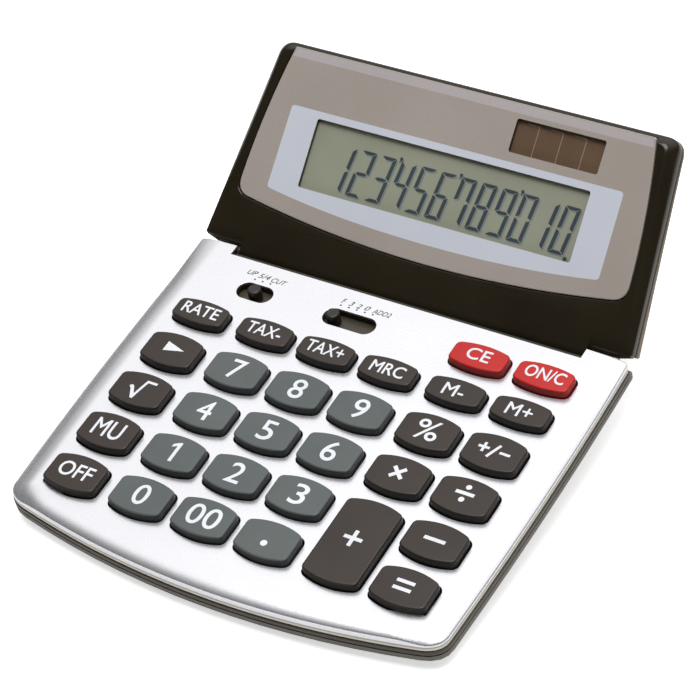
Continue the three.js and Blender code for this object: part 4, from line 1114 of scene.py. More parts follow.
@dataclass
class Keyboard:
    """The key caps with their legends: walls, soft edge, slightly crowned top.

    Attributes:
        deck: The deck's frame.
        half_width: Half the body's width, which the columns are shares of.
        columns: Places of the columns as shares of it.
        red_row_y: Place of the rear row, of the two red keys.
        small_row_y: Place of the row of small keys in front of it.
        rows_y: Places of the other four rows.
        width_share: A key's width as a share of half the body's width.
        depths: Depth of a key in these four rows at its middle and at its sides.
        small_depths: The same for the two rear rows.
        stand: How far the tops stand out of the deck.
        crown: How much the middle of a top is above its edge.
        edge: Radius of the soft edge.
        wall_rings: Count of rings that take the painted shade of the walls, up to where the top's colour
            begins.
        clearance: Gap round a key.
        draft: How far the wall leans in from foot to edge.
        flange: How far the hidden flange is wider than the hole.
        flange_top: Its upper level.
        flange_bottom: Its lower level.
        flange_side: Height of its upright side.
        crown_shares: How large each ring of the top is, as a share of the first.
        weight: How much heavier than the font's the strokes are, to either side.
        places: Place and form of each key, by its name.
    """

    deck: Lean
    half_width: float = 71.5
    columns: tuple[float, ...] = (-0.7287, -0.421, -0.1343, 0.151, 0.4545, 0.7399)
    red_row_y: float = 30.4
    small_row_y: float = 16.3
    rows_y: tuple[float, ...] = (0.2, -16.6, -33.4, -50.2)
    width_share: float = 0.2532
    depths: tuple[float, float] = (13.5, 11.1)
    small_depths: tuple[float, float] = (10.0, 8.3)
    stand: float = 2.65
    crown: float = 0.2
    edge: float = 0.6
    wall_rings: int = 7
    clearance: float = 0.35
    draft: float = 0.12
    flange: float = 0.8
    flange_top: float = -2.6
    flange_bottom: float = -3.8
    flange_side: float = 0.5
    crown_shares: tuple[float, ...] = (1.0, 0.985, 0.85, 0.65, 0.45, 0.25, 0.1)
    weight: float = 0.07
    places: dict[str, tuple[float, float, KeyForm]] = field(default_factory=dict)

    def __post_init__(self) -> None:
        """Lays the keys out in their rows and columns."""
        width = self.half_width * self.width_share
        main, small = KeyForm(width, *self.depths), KeyForm(width, *self.small_depths)
        functions = ("rate", "tax_minus", "tax_plus", "memory_recall", "memory_minus", "memory_plus")
        rows = (
            (self.red_row_y, small, (None, None, None, None, "clear_entry", "on_clear")),
            (self.small_row_y, small, functions),
            (self.rows_y[0], main, ("step_back", "7", "8", "9", "percent", "sign_change")),
            (self.rows_y[1], main, ("root", "4", "5", "6", "multiply", "divide")),
            (self.rows_y[2], main, ("mark_up", "1", "2", "3", None, "subtract")),
            (self.rows_y[3], main, ("off", "0", "00", "point", None, "equals")),
        )
        for y, form, names in rows:
            for share, name in zip(self.columns, names):
                if name:
                    self.places[name] = (share * self.half_width, y, form)
        rear, front = self.rows_y[2:4]
        tall = KeyForm(width, *(depth + rear - front for depth in self.depths))
        self.places["add"] = (self.columns[4] * self.half_width, (rear + front) / 2, tall)

    def holes(self, grow: float = 0.0) -> list[np.ndarray]:
        """Outlines of the key holes on the deck, grown by a distance."""
        return [form.outline(grow) + np.array([x, y]) for x, y, form in self.places.values()]

    def colour(self, name: str) -> Cap:
        """The cap's colour: red for the two clear keys, grey for digits and the point."""
        if name in ("clear_entry", "on_clear"):
            return Cap.RED
        return Cap.GREY if name.isdigit() or name == "point" else Cap.DARK

    def surface(self, name: str) -> Callable[[np.ndarray], np.ndarray]:
        """The top's level under deck points: stand - crown (1 - (1 - u^2)(1 - v^2)).

        Args:
            name: The key's name; u and v are shares of its half width and half depth.

        Returns:
            A function of flat points.
        """
        x, y, form = self.places[name]
        reach = np.array([form.width / 2, form.height / 2])

        def level(points: np.ndarray) -> np.ndarray:
            """The top's level under flat points."""
            share = np.clip((points[:, :2] - np.array([x, y])) / reach, -1, 1)
            return self.stand - self.crown * (1 - (1 - share[:, 0] ** 2) * (1 - share[:, 1] ** 2))

        return level

    def cap(self, name: str) -> Solid:
        """One key cap: flange, wall with a slight draft, quarter-round edge, crowned top.

        Args:
            name: The key's name.

        Returns:
            The cap, its walls marked 1 for their painted shade.
        """
        x, y, form = self.places[name]
        middle = np.array([x, y])
        top = self.surface(name)
        foot = -self.clearance
        walls = (
            (self.flange, self.flange_bottom),
            (self.flange, self.flange_bottom + self.flange_side),
            (foot, self.flange_top),
            (foot - self.draft / 2, self.flange_top / 2),
            (foot - self.draft, self.stand - self.crown - self.edge),
        )
        rings = [lifted(form.outline(grow) + middle, level) for grow, level in walls]
        for inset, lower in rounding(self.edge, np.arange(1, 8) * 90 / 8):
            outline = form.outline(foot - self.draft - inset) + middle
            rings.append(lifted(outline, lambda p, lower=lower: top(p) - lower))
        inner = form.outline(foot - self.draft - self.edge)
        rings += [lifted(middle + inner * share, top) for share in self.crown_shares]
        solid = Solid().grid(rings[: self.wall_rings], 1).grid(rings[self.wall_rings - 1 :])
        return solid.face(rings[0], 1).face(rings[-1])

    def legend(self, name: str) -> Legend:
        """What the key has printed on it, in the sizes that the real keys show.

        Args:
            name: The key's name.

        Returns:
            Its letters, or its sign where the font has none of the right form.
        """
        if name.isdigit() and name != "1":
            return Legend(name, 10.2 if name == "00" else 4.6, 7.2, 0.25, 0.15)
        words = {
            "rate": Legend("RATE", 12.2, 4.3, 0.05, 0.5),
            "tax_minus": Legend("TAX-", 11.3, 4.3, -0.2, 0.4),
            "tax_plus": Legend("TAX+", 12.2, 4.3, -0.2, 0.4),
            "memory_recall": Legend("MRC", 10.7, 4.3, 0.05, 0.15),
            "memory_minus": Legend("M-", 6.5, 4.4, -0.35, -0.05),
            "memory_plus": Legend("M+", 7.9, 4.4, -0.15, -0.05),
            "clear_entry": Legend("CE", 7.4, 4.4, -0.1, 0.35),
            "on_clear": Legend("ON/C", 12.2, 4.4, 0.25, 0.55),
            "percent": Legend("%", 7.1, 7.2, 0.0, 0.3),
            "mark_up": Legend("MU", 9.4, 6.3, 0.0, 0.35),
            "off": Legend("OFF", 10.9, 5.2, 0.1, 0.4),
        }
        if name in words:
            return words[name]
        foot = [[0.15, -3.35], [1.2, -3.35], [1.2, 3.75], [0.5, 3.75]]
        one = foot + [[-1.35, 2.6], [-1.35, 1.5], [0.15, 2.35]]
        root = [
            [-3.6, 0.2], [-2.9, 0.75], [-2.2, 0.4], [-0.75, -2.2], [0.55, 3.6], [4.0, 3.6], [4.0, 2.75],
            [1.2, 2.75], [-0.35, -3.9], [-1.1, -3.9], [-2.85, -0.55], [-3.1, -0.45],
        ]
        signs = {
            "1": (np.array(one),),
            "root": (np.array(root),),
            "step_back": (np.array([[-2.2, -1.3], [-2.2, 2.4], [4.2, 0.4]]),),
            "multiply": (cross(5.2, 1.15, -0.15, 0.35, 45.0),),
            "divide": (bar(5.6, 1.15, -0.05, 0.75), disc(0.85, 0.0, 3.0), disc(0.85, 0.0, -1.5)),
            "add": (cross(5.6, 1.15, -0.05, 0.7),),
            "subtract": (bar(6.4, 1.15, 0.1, 0.2),),
            "equals": (bar(5.4, 1.1, 0.0, 1.6), bar(5.4, 1.1, 0.0, -0.9)),
            "point": (disc(1.0, 0.0, -1.6),),
            "sign_change": (
                cross(3.4, 0.85, -3.1, 0.7), bar(5.4, 0.85, 0.1, 0.2, 66.0), bar(3.2, 0.85, 3.5, 0.2),
            ),
        }
        return Legend(signs=signs[name])

    def print_on(self, name: str) -> Solid:
        """The legend as a thin layer of ink that follows the crown.

        Args:
            name: The key's name.

        Returns:
            The ink.
        """
        x, y, _ = self.places[name]
        legend = self.legend(name)
        top = self.surface(name)
        solid = Solid()
        if legend.text:
            place = (x + legend.x, y + legend.y)
            inked(solid, lettering(legend.text, (legend.width, legend.height), place, self.weight), top)
        for outline in legend.signs:
            inked(solid, [outline + np.array([x, y])], top)
        return solid

    def build(self) -> None:
        """Makes all key caps and their legends."""
        for name in self.places:
            node = f"key_{name}"
            # The wall finish is a darker copy of the cap's colour: painted shade on the walls.
            top, wall, slot = self.colour(name).value
            show(self.cap(name).mesh(node, self.deck), f"{node}_cap", [top, wall], node, slot, [node])
            show(self.print_on(name).mesh(node, self.deck), f"{node}_legend", [WHITE_INK], node, slot)


@dataclass(frozen=True)
class Slide:
    """One slide switch.

    Attributes:
        node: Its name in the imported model.
        share: Middle of its slot, as a share of half the body's width.
        places: Count of its places.
        rest: The place that it rests in, from 0.
    """

    node: str
    share: float
    places: int
    rest: int


@dataclass(frozen=True)
class SlideSwitches:
    """The two slide switches: round knobs on carriers, and the marks printed behind their slots.

    Attributes:
        deck: The deck's frame.
        half_width: Half the body's width, which places are shares of.
        slot_y: Middle line of the slots.
        slot_height: Their height.
        step_share: Distance between two places of a switch, as a share.
        knob_radius: Radius of a knob.
        knob_edge: Radius of its edge.
        knob_stand: How far it stands out of the deck.
        knob_dish: Shares of its radius and depths of the shallow dish in its top.
        knob_root: How far it reaches into its carrier.
        carrier_top: Upper level of the carriers.
        carrier_bottom: Their lower level.
        carrier_corner: Radius of their corners.
        margin: How much wider a carrier is than its slot.
        dot_radius: Radius of the dots behind the slots.
        dot_place: Place of a dot from the place of the knob that it marks.
        label_height: Height of the labels.
        label_weight: How much heavier than the font's their strokes are.
        label_slant: How far they lean.
        slides: The two switches.
        labels: Text, width and middle of each label.
    """

    deck: Lean
    half_width: float = 71.5
    slot_y: float = 30.9
    slot_height: float = 6.4
    step_share: float = 0.0375
    knob_radius: float = 2.1
    knob_edge: float = 0.65
    knob_stand: float = 1.6
    knob_dish: tuple[tuple[float, float], ...] = ((0.45, 0.03), (0.2, 0.05), (0.0, 0.05))
    knob_root: float = 0.6
    carrier_top: float = -2.65
    carrier_bottom: float = -5.25
    carrier_corner: float = 0.6
    margin: float = 0.3
    dot_radius: float = 0.31
    dot_place: tuple[float, float] = (-0.12, 4.75)
    label_height: float = 1.85
    label_weight: float = 0.02
    label_slant: float = 0.3
    slides: tuple[Slide, ...] = (
        Slide("rounding_switch", -0.5986, 3, 1),
        Slide("decimal_switch", -0.1483, 5, 0),
    )
    labels: tuple[tuple[str, float, float, float], ...] = (
        ("UP", 3.3, -47.6, 37.8), ("5/4", 3.9, -43.3, 37.6), ("CUT", 5.0, -38.2, 37.3),
        ("F", 1.3, -16.0, 37.5),
        ("3", 1.5, -13.3, 37.3), ("2", 1.5, -10.7, 37.2), ("0", 1.6, -8.0, 37.3), ("ADD2", 6.0, -3.1, 37.1),
    )

    def travel(self, slide: Slide) -> float:
        """Way of a knob from its first to its last place."""
        return (slide.places - 1) * self.step_share * self.half_width

    def at(self, slide: Slide, place: int) -> float:
        """Where one of a switch's places lies along X."""
        step = self.step_share * self.half_width
        return slide.share * self.half_width - self.travel(slide) / 2 + place * step

    def holes(self, grow: float = 0.0) -> list[np.ndarray]:
        """Outlines of the slots, each a half circle at either end of two straight sides.

        Args:
            grow: How far they are grown.

        Returns:
            One closed outline for each slot.
        """
        loops = []
        quarter = math.pi / 2
        for slide in self.slides:
            x, half = slide.share * self.half_width, self.travel(slide) / 2
            radius = self.slot_height / 2 + grow
            right = arc((x + half, self.slot_y), radius, -quarter, quarter, 24)
            left = arc((x - half, self.slot_y), radius, quarter, 3 * quarter, 24)
            loops.append(closed(np.concatenate([right, left])))
        return loops

    def knob(self, slide: Slide) -> Solid:
        """A turned knob, dished a little at the middle, on a carrier with rounded corners.

        Args:
            slide: The switch.

        Returns:
            The knob with its carrier, the carrier marked 1.
        """
        x = self.at(slide, slide.rest)
        wide = self.slot_height / 2 + self.margin
        half = self.travel(slide) + wide
        carrier = rounded_box(x - half, x + half, self.slot_y - wide, self.slot_y + wide, self.carrier_corner)
        solid = Solid().prism(carrier, self.carrier_bottom, self.carrier_top, 1)
        top, radius, root = self.knob_stand, self.knob_radius, self.carrier_top - self.knob_root
        profile = [(0.0, root), (radius, root), (radius, top - self.knob_edge)]
        edge = rounding(self.knob_edge, range(15, 91, 15))
        profile += [(radius - inset, top - lower) for inset, lower in edge]
        profile += [(radius * share, top - depth) for share, depth in self.knob_dish]
        return solid.turned(profile, x, self.slot_y)

    def marks(self) -> Solid:
        """The dots behind the slots and the small slanted labels over them.

        Returns:
            All of that ink as one solid.
        """
        solid = Solid()
        across, behind = self.dot_place
        for slide in self.slides:
            for place in range(slide.places):
                dot = disc(self.dot_radius, self.at(slide, place) + across, self.slot_y + behind)
                inked(solid, [dot], 0.0)
        for text, width, x, y in self.labels:
            size = (width, self.label_height)
            outlines = lettering(text, size, (x, y), self.label_weight, self.label_slant)
            inked(solid, outlines, 0.0)
        return solid

    def build(self) -> None:
        """Makes both knobs and the printed marks."""
        for slide in self.slides:
            mesh = self.knob(slide).mesh(slide.node, self.deck)
            show(mesh, f"{slide.node}_knob", [KNOB_ABS, TRAY_ABS], slide.node, "black_plastic", [slide.node])
        marks = self.marks().mesh("switch_marks", self.deck)
        show(marks, "switch_marks", [GREY_INK], "body", "black_plastic")


@dataclass(frozen=True)
class Deck:
    """The plate on top and the tray under it.

    Attributes:
        deck: The deck's frame.
        keyboard: The keys, whose holes the plate has.
        switches: The switches, whose slots it has.
        plan: The body's outline.
        setback: How far the plate is inside the body's outline.
        sheet: The plate's thickness.
        rim_depth: How far its rim reaches down.
        roll: Width of its rolled edge.
        edge_radius: Radius of the tight part of the roll.
        edge_degrees: How far round the tight part goes before the gentle part follows.
        gentle_drop: Depth of the gentle part at the sides.
        front_share: Share of that depth, and of the roll's width, in front.
        side_from: Half width where the front's roll starts to change into that of the sides.
        side_to: Half width where it ends.
        under_roll: How far its under side lies below the foot of the roll.
        rear_roll: Width of the roll at the rear.
        rear_depth_share: Share of its depth that is left there.
        notch_y: Front of the plate's notch.
        taper: Length over which the roll gets lower towards the rear.
        hole_edge: Radius of the edge of key holes.
        line_levels: Levels between which the rim takes the painted dark reflection line; below, the trimmed
            foot takes the painted floor reflection.
        support: Width of the flat strip beside each round, which keeps its shading even.
        tray_top: Upper level of the tray.
        tray_under: Level of its under side.
        tray_rim_top: Upper level of its rim, which shows under the plate.
        tray_rim_bottom: Lower level of the rim.
        tray_rim_edge: Radius of the rim's edges.
        tray_step: How far inside the rim the tray steps up under the plate.
        tray_slope: How far inside the slope that follows ends.
        tray_slope_drop: How far it drops.
        tray_wall: How far inside the wall's inner face lies.
        tray_notch_y: Front of the tray's notch.
        window_corner: Radius of the corners of its windows.
    """

    deck: Lean
    keyboard: Keyboard
    switches: SlideSwitches
    plan: BodyPlan = BodyPlan()
    setback: float = 0.3
    sheet: float = 0.8
    rim_depth: float = 4.2
    roll: float = 7.9
    edge_radius: float = 0.8
    edge_degrees: float = 62.0
    gentle_drop: float = 1.994
    front_share: float = 0.42
    side_from: float = 57.0
    side_to: float = 66.0
    under_roll: float = 0.3
    rear_roll: float = 0.4
    rear_depth_share: float = 0.5
    notch_y: float = 42.25
    taper: float = 16.0
    hole_edge: float = 0.14
    line_levels: tuple[float, float] = (-3.45, -2.8)
    support: float = 0.05
    tray_top: float = -1.1
    tray_under: float = -2.3
    tray_rim_top: float = -4.5
    tray_rim_bottom: float = -6.0
    tray_rim_edge: float = 0.2
    tray_step: float = 3.6
    tray_slope: float = 6.6
    tray_slope_drop: float = 1.3
    tray_wall: float = 5.0
    tray_notch_y: float = 43.9
    window_corner: float = 0.5

    def deep(self, points: np.ndarray) -> np.ndarray:
        """How deep the roll is at flat points: whole at the sides, front_share of it in front."""
        side = np.clip((np.abs(points[:, 0]) - self.side_from) / (self.side_to - self.side_from), 0, 1)
        return self.front_share + (1 - self.front_share) * side * side * (3 - 2 * side)

    def shallower(self, points: np.ndarray) -> np.ndarray:
        """The factor by which all levels of the edge shrink towards the rear."""
        ahead = np.clip((self.plan.rear_y - points[:, 1]) / self.taper, 0, 1)
        return self.rear_depth_share + (1 - self.rear_depth_share) * ahead

    def rounded(self, angle: float, below: float = 0.0) -> Callable[[np.ndarray], np.ndarray]:
        """Level of the tight round after an angle: r (sin a - sin turn) - c f, f from deep().

        Args:
            angle: The angle, from 0 at the rim.
            below: A further drop.

        Returns:
            A function of flat points.
        """
        rise = self.edge_radius * (math.sin(angle) - math.sin(math.radians(self.edge_degrees)))
        return lambda points: (rise - self.gentle_drop * self.deep(points)) * self.shallower(points) - below

    def eased(self, share: float, below: float = 0.0) -> Callable[[np.ndarray], np.ndarray]:
        """Level of the gentle part at a share of its width: -c f (1 - s / f)^2, flat from s = f on.

        Args:
            share: The share of the width, from 0 at the tight round.
            below: A further drop.

        Returns:
            A function of flat points.
        """

        def at(points: np.ndarray) -> np.ndarray:
            """The plate's level under flat points."""
            deep = self.deep(points)
            level = -self.gentle_drop * deep * np.clip(1 - share / deep, 0, 1) ** 2
            return level * self.shallower(points) - below

        return at

    def drawn_in(self, inset: float) -> np.ndarray:
        """The plate's outline drawn in, by less at the rear."""
        rear = self.setback + self.rear_roll * inset / self.roll
        return self.plan.path(self.setback + inset, rear)

    def notch(self, y: float) -> np.ndarray:
        """The two front corners of a notch for the hinge barrel, from left to right."""
        return np.array([[-self.plan.notch_half, y], [self.plan.notch_half, y]])

    def close_ends(
        self,
        solid: Solid,
        outer: list[np.ndarray],
        inner: list[np.ndarray],
        notch: np.ndarray,
        levels: Sequence[float],
        mark: int = 0,
    ) -> None:
        """Closes a wall beside the notch: at both ends one face through all rings and the notch's corner.

        Args:
            solid: The solid that takes the faces.
            outer: Rings of the outer side, from the foot up.
            inner: Rings of the inner side, from the foot up.
            notch: The notch's corners.
            levels: Upper and lower level at the notch.
            mark: Material of the faces.
        """
        for end, corner in ((0, notch[1]), (-1, notch[0])):
            turn = [np.array([*corner, level]) for level in levels]
            profile = [ring[end] for ring in outer] + turn + [ring[end] for ring in inner[::-1]]
            solid.face(np.array(profile), mark)

    def edge_rings(self) -> tuple[list[np.ndarray], list[np.ndarray]]:
        """The rings of the plate's rim and roll, the inset round the edge being r (1 - cos a).

        Returns:
            The rings of the upper side and those of the under side, each from the foot of the rim.
        """
        radius, turn = self.edge_radius, math.radians(self.edge_degrees)
        edge = self.drawn_in(0.0)
        outer = [lifted(edge, level) for level in (-self.rim_depth, *self.line_levels)]
        outer.append(lifted(edge, self.rounded(0.0)))
        for angle in np.linspace(0, turn, 8)[1:]:
            outer.append(lifted(self.drawn_in(radius * (1 - math.cos(angle))), self.rounded(angle)))
        start = radius * (1 - math.cos(turn))
        for share in np.linspace(0, 1, 13)[1:]:
            outer.append(lifted(self.drawn_in(start + (self.roll - start) * share), self.eased(share)))
        wall = self.setback + self.sheet
        foot = self.plan.path(wall, wall)
        inner = [lifted(foot, -self.rim_depth), lifted(foot, self.rounded(0.0, self.under_roll))]
        for share in np.linspace(0.06, 1, 7):
            inset = self.setback + start + (self.roll - start) * share
            outline = self.plan.path(inset, wall + self.rear_roll * share)
            inner.append(lifted(outline, self.eased(share, self.sheet)))
        return outer, inner

    def faceplate(self) -> Solid:
        """The plate: a rim, a tight round of edge_radius, a parabola up to the flat, and its holes.

        The parabola meets the round without a crease.

        Returns:
            The plate; sheared edges with painted gap shade are marked 1, the painted dark reflection line 2
            and the rim's trimmed foot with its painted floor reflection 3.
        """
        outer, inner = self.edge_rings()
        flat = self.drawn_in(self.roll + self.support)
        outer.append(lifted(flat, 0.0))
        solid = Solid().grid(outer[2:]).grid(inner).grid(outer[:2], 3).grid(outer[1:3], 2)
        solid.grid([outer[0], inner[0]], 1)
        notch = self.notch(self.notch_y)
        holes = self.keyboard.holes, self.switches.holes
        under = self.plan.path(self.setback + self.roll, self.setback + self.sheet + self.rear_roll)
        top_holes = [loop for family in holes for loop in family(self.hole_edge + self.support)]
        low_holes = [loop for family in holes for loop in family(0.0)]
        solid.sheet(np.concatenate([flat, notch]), top_holes, 0.0)
        solid.sheet(np.concatenate([under, notch]), low_holes, -self.sheet)
        for family in holes:
            rings = [[lifted(loop, 0.0) for loop in family(self.hole_edge + self.support)]]
            for inset, lower in rounding(self.hole_edge, QUARTER_STEPS):
                rings.append([lifted(loop, -inset) for loop in family(lower)])
            for rows in zip(*rings):
                solid.grid(rows)
            for first, loop in zip(rings[-1], family(0.0)):
                solid.grid([first, lifted(loop, -self.sheet)], 1)
        self.close_ends(solid, outer, inner, notch, (0.0, -self.sheet), 1)
        return solid.grid([lifted(notch, -self.sheet), lifted(notch, 0.0)], 1)

    def tray(self) -> Solid:
        """The tray: a rounded rim that shows as a dark strip, a wall and slope under the plate.

        Returns:
            The tray, its upper face marked 1.
        """
        bottom, top, path = self.tray_rim_bottom, self.tray_rim_top, self.plan.path
        edge = rounding(self.tray_rim_edge, QUARTER_STEPS)
        rings = [lifted(path(lower), bottom + inset) for inset, lower in edge]
        rings += [lifted(path(lower), top - inset) for inset, lower in edge[::-1]]
        rings.append(lifted(path(self.tray_step), top))
        rings.append(lifted(path(self.tray_step), self.tray_top - self.tray_slope_drop))
        rings.append(lifted(path(self.tray_slope), self.tray_top))
        inside = path(self.tray_wall)
        inner = [lifted(inside, bottom), lifted(inside, self.tray_under)]
        solid = Solid().grid(rings).grid(inner).grid([rings[0], inner[0]])
        windows = []
        for x, y, form in self.keyboard.places.values():
            wide, high = form.width / 2, form.height / 2
            windows.append(rounded_box(x - wide, x + wide, y - high, y + high, self.window_corner, 3))
        windows += self.switches.holes()
        notch = self.notch(self.tray_notch_y)
        solid.sheet(np.concatenate([path(self.tray_slope), notch]), windows, self.tray_top, 1)
        solid.sheet(np.concatenate([inside, notch]), windows, self.tray_under)
        for loop in windows:
            solid.grid([lifted(loop, self.tray_top), lifted(loop, self.tray_under)], 1)
        self.close_ends(solid, rings, inner, notch, (self.tray_top, self.tray_under))
        return solid.grid([lifted(notch, self.tray_under), lifted(notch, self.tray_top)], 1)

    def build(self) -> None:
        """Makes the plate and the tray."""
        plate = self.faceplate().mesh("faceplate", self.deck)
        # Painted gap shade, a painted dark reflection line and a painted floor reflection sit on the plate's
        # edges.
        finishes = [ALUMINIUM, SHEARED_EDGE_PAINTED_GAP_SHADE, RIM_LINE_PAINTED_REFLECTION, TRIMMED_RIM_PAINTED_REFLECTION]
        show(plate, "brushed_plate", finishes, "body", "brushed_plate", ["faceplate"])
        tray = self.tray().mesh("tray", self.deck)
        show(tray, "housing_tray", [TRAY_ABS, GLOSS_ABS], "body", "black_plastic", ["upper_housing"])


@dataclass(frozen=True)
class KeyMat:
    """The silicone mat under the keys: a sheet, and a dome for each key, which buckles as it is pressed.

    Attributes:
        deck: The deck's frame.
        keyboard: The keys.
        half_width: Half the sheet's width.
        front_y: Its front edge.
        rear_y: Its rear edge.
        bottom: Its under side.
        top: Its upper side, where the domes begin.
        corner: Radius of its corners.
        softened: Size of its softened edges.
        dome_top: Level of the domes' crests.
        foot: Radius of a dome's foot.
        crest: Radius of its crest.
        buckled: Share of its height that is left when the key is down; not used.
    """

    deck: Lean
    keyboard: Keyboard
    half_width: float = 61.8
    front_y: float = -56.0
    rear_y: float = 38.0
    bottom: float = -6.6
    top: float = -5.6
    corner: float = 3.0
    softened: float = 0.15
    dome_top: float = -4.1
    foot: float = 4.0
    crest: float = 2.6
    buckled: float = 0.12

    def sheet(self) -> Solid:
        """The sheet: a plate with round corners and softened edges."""
        box = (-self.half_width, self.half_width, self.front_y, self.rear_y)
        return soft_plate(box, self.corner, 6, self.bottom, self.top, self.softened)

    def dome(self, x: float, y: float) -> Solid:
        """A dome: its radius falls evenly from foot to crest, its level rises as sin(90 t).

        Args:
            x: Its place.
            y: Its place.

        Returns:
            The dome.
        """
        height = self.dome_top - self.top
        profile = [(0.0, self.top), (self.foot, self.top)]
        for share in np.linspace(0, 1, 7)[1:]:
            radius = self.foot - (self.foot - self.crest) * share
            profile.append((radius, self.top + height * math.sin(share * math.pi / 2)))
        profile.append((0.0, self.dome_top))
        return Solid().turned(profile, x, y, 32)

    def build(self) -> None:
        """Makes the sheet and the domes, each with a mesh of its own."""
        sheet = self.sheet().mesh("mat", self.deck)
        show(sheet, "key_mat_sheet", [SILICONE], "body", "silicone", ["key_mat"])
        up = self.deck.turn(np.array([[0.0, 0.0, 1.0]]))[0]
        for name, (x, y, _) in self.keyboard.places.items():
            rows = self.keyboard.rows_y[2:4] if name == "add" else (y,)
            for count, row_y in enumerate(rows, 1):
                label = f"key_{name}_dome" if len(rows) == 1 else f"key_{name}_dome_{count}"
                dome = show(self.dome(x, row_y).mesh(label, self.deck), label, [SILICONE], "body", "silicone")
                anchor = self.deck.row(np.array([[x, row_y, self.top]]))[0]
                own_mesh(dome)


@dataclass(frozen=True)
class Underside:
    """The case that closes the body, the battery cover and the feet.

    Attributes:
        deck: The deck's frame.
        lug_rear_y: Rear edge of the case, which the hinge lugs stand out of.
        lug_inner_x: Inner side of the lugs.
        lug_bottom: Their lower level.
        foot_edge: Radius of a foot's edge.
        foot_ring: Radii and depths of the ring moulded in its face.
    """

    deck: Lean
    lug_rear_y: float = 46.55
    lug_inner_x: float = 57.5
    lug_bottom: float = -6.35
    foot_edge: float = 0.5
    foot_ring: tuple[tuple[float, float], ...] = (
        (3.4, 0.0), (3.2, 0.25), (2.8, 0.25), (2.6, 0.0), (0.0, 0.0),
    )

    def mark_lugs(self, case: bpy.types.Mesh) -> None:
        """Gives the hinge lugs, the faces behind the rear edge at both ends, the second material.

        Args:
            case: The case's mesh.
        """
        centres = np.empty(len(case.polygons) * 3)
        case.polygons.foreach_get("center", centres)
        x, y, z = self.deck.local(centres.reshape(-1, 3)).T
        lugs = (y > self.lug_rear_y) & (np.abs(x) > self.lug_inner_x) & (z > self.lug_bottom)
        case.polygons.foreach_set("material_index", lugs.astype(np.int32))

    def foot(self, node: str) -> Solid:
        """A rubber foot: rounded lower edge and a shallow ring moulded in its face.

        Args:
            node: The foot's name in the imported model.

        Returns:
            The foot.
        """
        low, high = (np.array(corner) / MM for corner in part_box(node))
        x, y, _ = (low + high) / 2
        bottom, top, radius = low[2], high[2], (high[0] - low[0]) / 2
        profile = [(0.0, top), (radius, top)]
        for inset, lower in rounding(self.foot_edge, np.linspace(0, 90, 5)):
            profile.append((radius - inset, bottom + lower))
        profile += [(ring, bottom + depth) for ring, depth in self.foot_ring]
        return Solid().turned(profile, x, y)

    def build(self) -> None:
        """Makes the case, the cover and the four feet."""
        case = smoothed_copy("lower_case")
        self.mark_lugs(case)
        show(case, "case_shell", [TEXTURED_ABS, GLOSS_ABS], "body", "dark_case", ["lower_case"])
        cover = smoothed_copy("battery_cover")
        show(cover, "sliding_cover", [TEXTURED_ABS], "battery_cover", "dark_case", ["battery_cover"])
        for side in ("front_left", "front_right", "rear_left", "rear_right"):
            node = f"foot_{side}"
            foot = self.foot(node).mesh(node, Lean(0.0))
            show(foot, f"{node}_rubber", [RUBBER], "body", "foot_rubber", [node])


# Display head


@dataclass(frozen=True)
class HeadPlan:
    """The head seen along its front plane's normal: sides that lean in towards the top.

    The drops are pairs: the size at the lower edge, and what it changes by up to the top.

    Attributes:
        bottom_y: Lower edge above the hinge axis.
        top_y: Upper edge.
        bottom_half: Half width at the lower edge.
        top_half: Half width at the upper edge.
        bottom_corner: Size of the lower corners.
        top_corner: Size of the upper corners.
        least_corner: Least size of a corner drawn in.
        front: Level of the front plane.
        rim_drop: How far the outer rim lies below it.
        strip_drop: How far the parting line lies below the rim.
        back_drop: How far below the front plane the side turns in to the back.
    """

    bottom_y: float = 1.6
    top_y: float = 63.7
    bottom_half: float = 71.0
    top_half: float = 65.6
    bottom_corner: float = 0.7
    top_corner: float = 4.5
    least_corner: float = 0.3
    front: float = 5.0
    rim_drop: tuple[float, float] = (0.5, 2.9)
    strip_drop: tuple[float, float] = (2.6, -0.3)
    back_drop: tuple[float, float] = (6.4, 1.2)

    def share(self, y: np.ndarray | float) -> np.ndarray | float:
        """How far up the head a place lies, from 0 to 1."""
        return (y - self.bottom_y) / (self.top_y - self.bottom_y)

    def half(self, y: float) -> float:
        """Half width at a place up the head."""
        return self.bottom_half + (self.top_half - self.bottom_half) * self.share(y)

    def loop(self, inset: float, bottom_y: float | None = None) -> np.ndarray:
        """The closed outline drawn in by an inset, corners as quadratic curves.

        Args:
            inset: How far it is drawn in.
            bottom_y: Its lower edge, where that isn't simply drawn in.

        Returns:
            The outline, anticlockwise from the middle of the lower edge, closed.
        """
        bottom = self.bottom_y + inset if bottom_y is None else bottom_y
        top = self.top_y - inset
        low, high = self.half(bottom) - inset, self.half(top) - inset
        side = unit(np.array([high - low, top - bottom]))
        small = max(self.bottom_corner - inset, self.least_corner)
        large = max(self.top_corner - inset / 2, self.least_corner)
        lower, upper = np.array([low, bottom]), np.array([high, top])
        before, after = lower - np.array([small, 0.0]), upper - np.array([large, 0.0])
        right = chain(
            straight((0.0, bottom), before, 12),
            bend(before, lower, lower + side * small, 8),
            straight(lower + side * small, upper - side * large, 16),
            bend(upper - side * large, upper, after, 16),
            straight(after, (0.0, top), 12),
        )
        return mirrored(right)

    def drop(self, points: np.ndarray, sizes: tuple[float, float]) -> np.ndarray:
        """A drop at flat points: its size at the lower edge, and the change by their share of the way up."""
        return sizes[0] + sizes[1] * self.share(points[:, 1])

    def rim(self, points: np.ndarray) -> np.ndarray:
        """Level of the outer rim, which drops away towards the top."""
        return self.front - self.drop(points, self.rim_drop)

    def parting(self, points: np.ndarray) -> np.ndarray:
        """Level where the front shell ends and the back cover begins."""
        return self.rim(points) - self.drop(points, self.strip_drop)

    def back_side(self, points: np.ndarray) -> np.ndarray:
        """Level where the back cover's side turns in to its back."""
        return self.front - self.drop(points, self.back_drop)


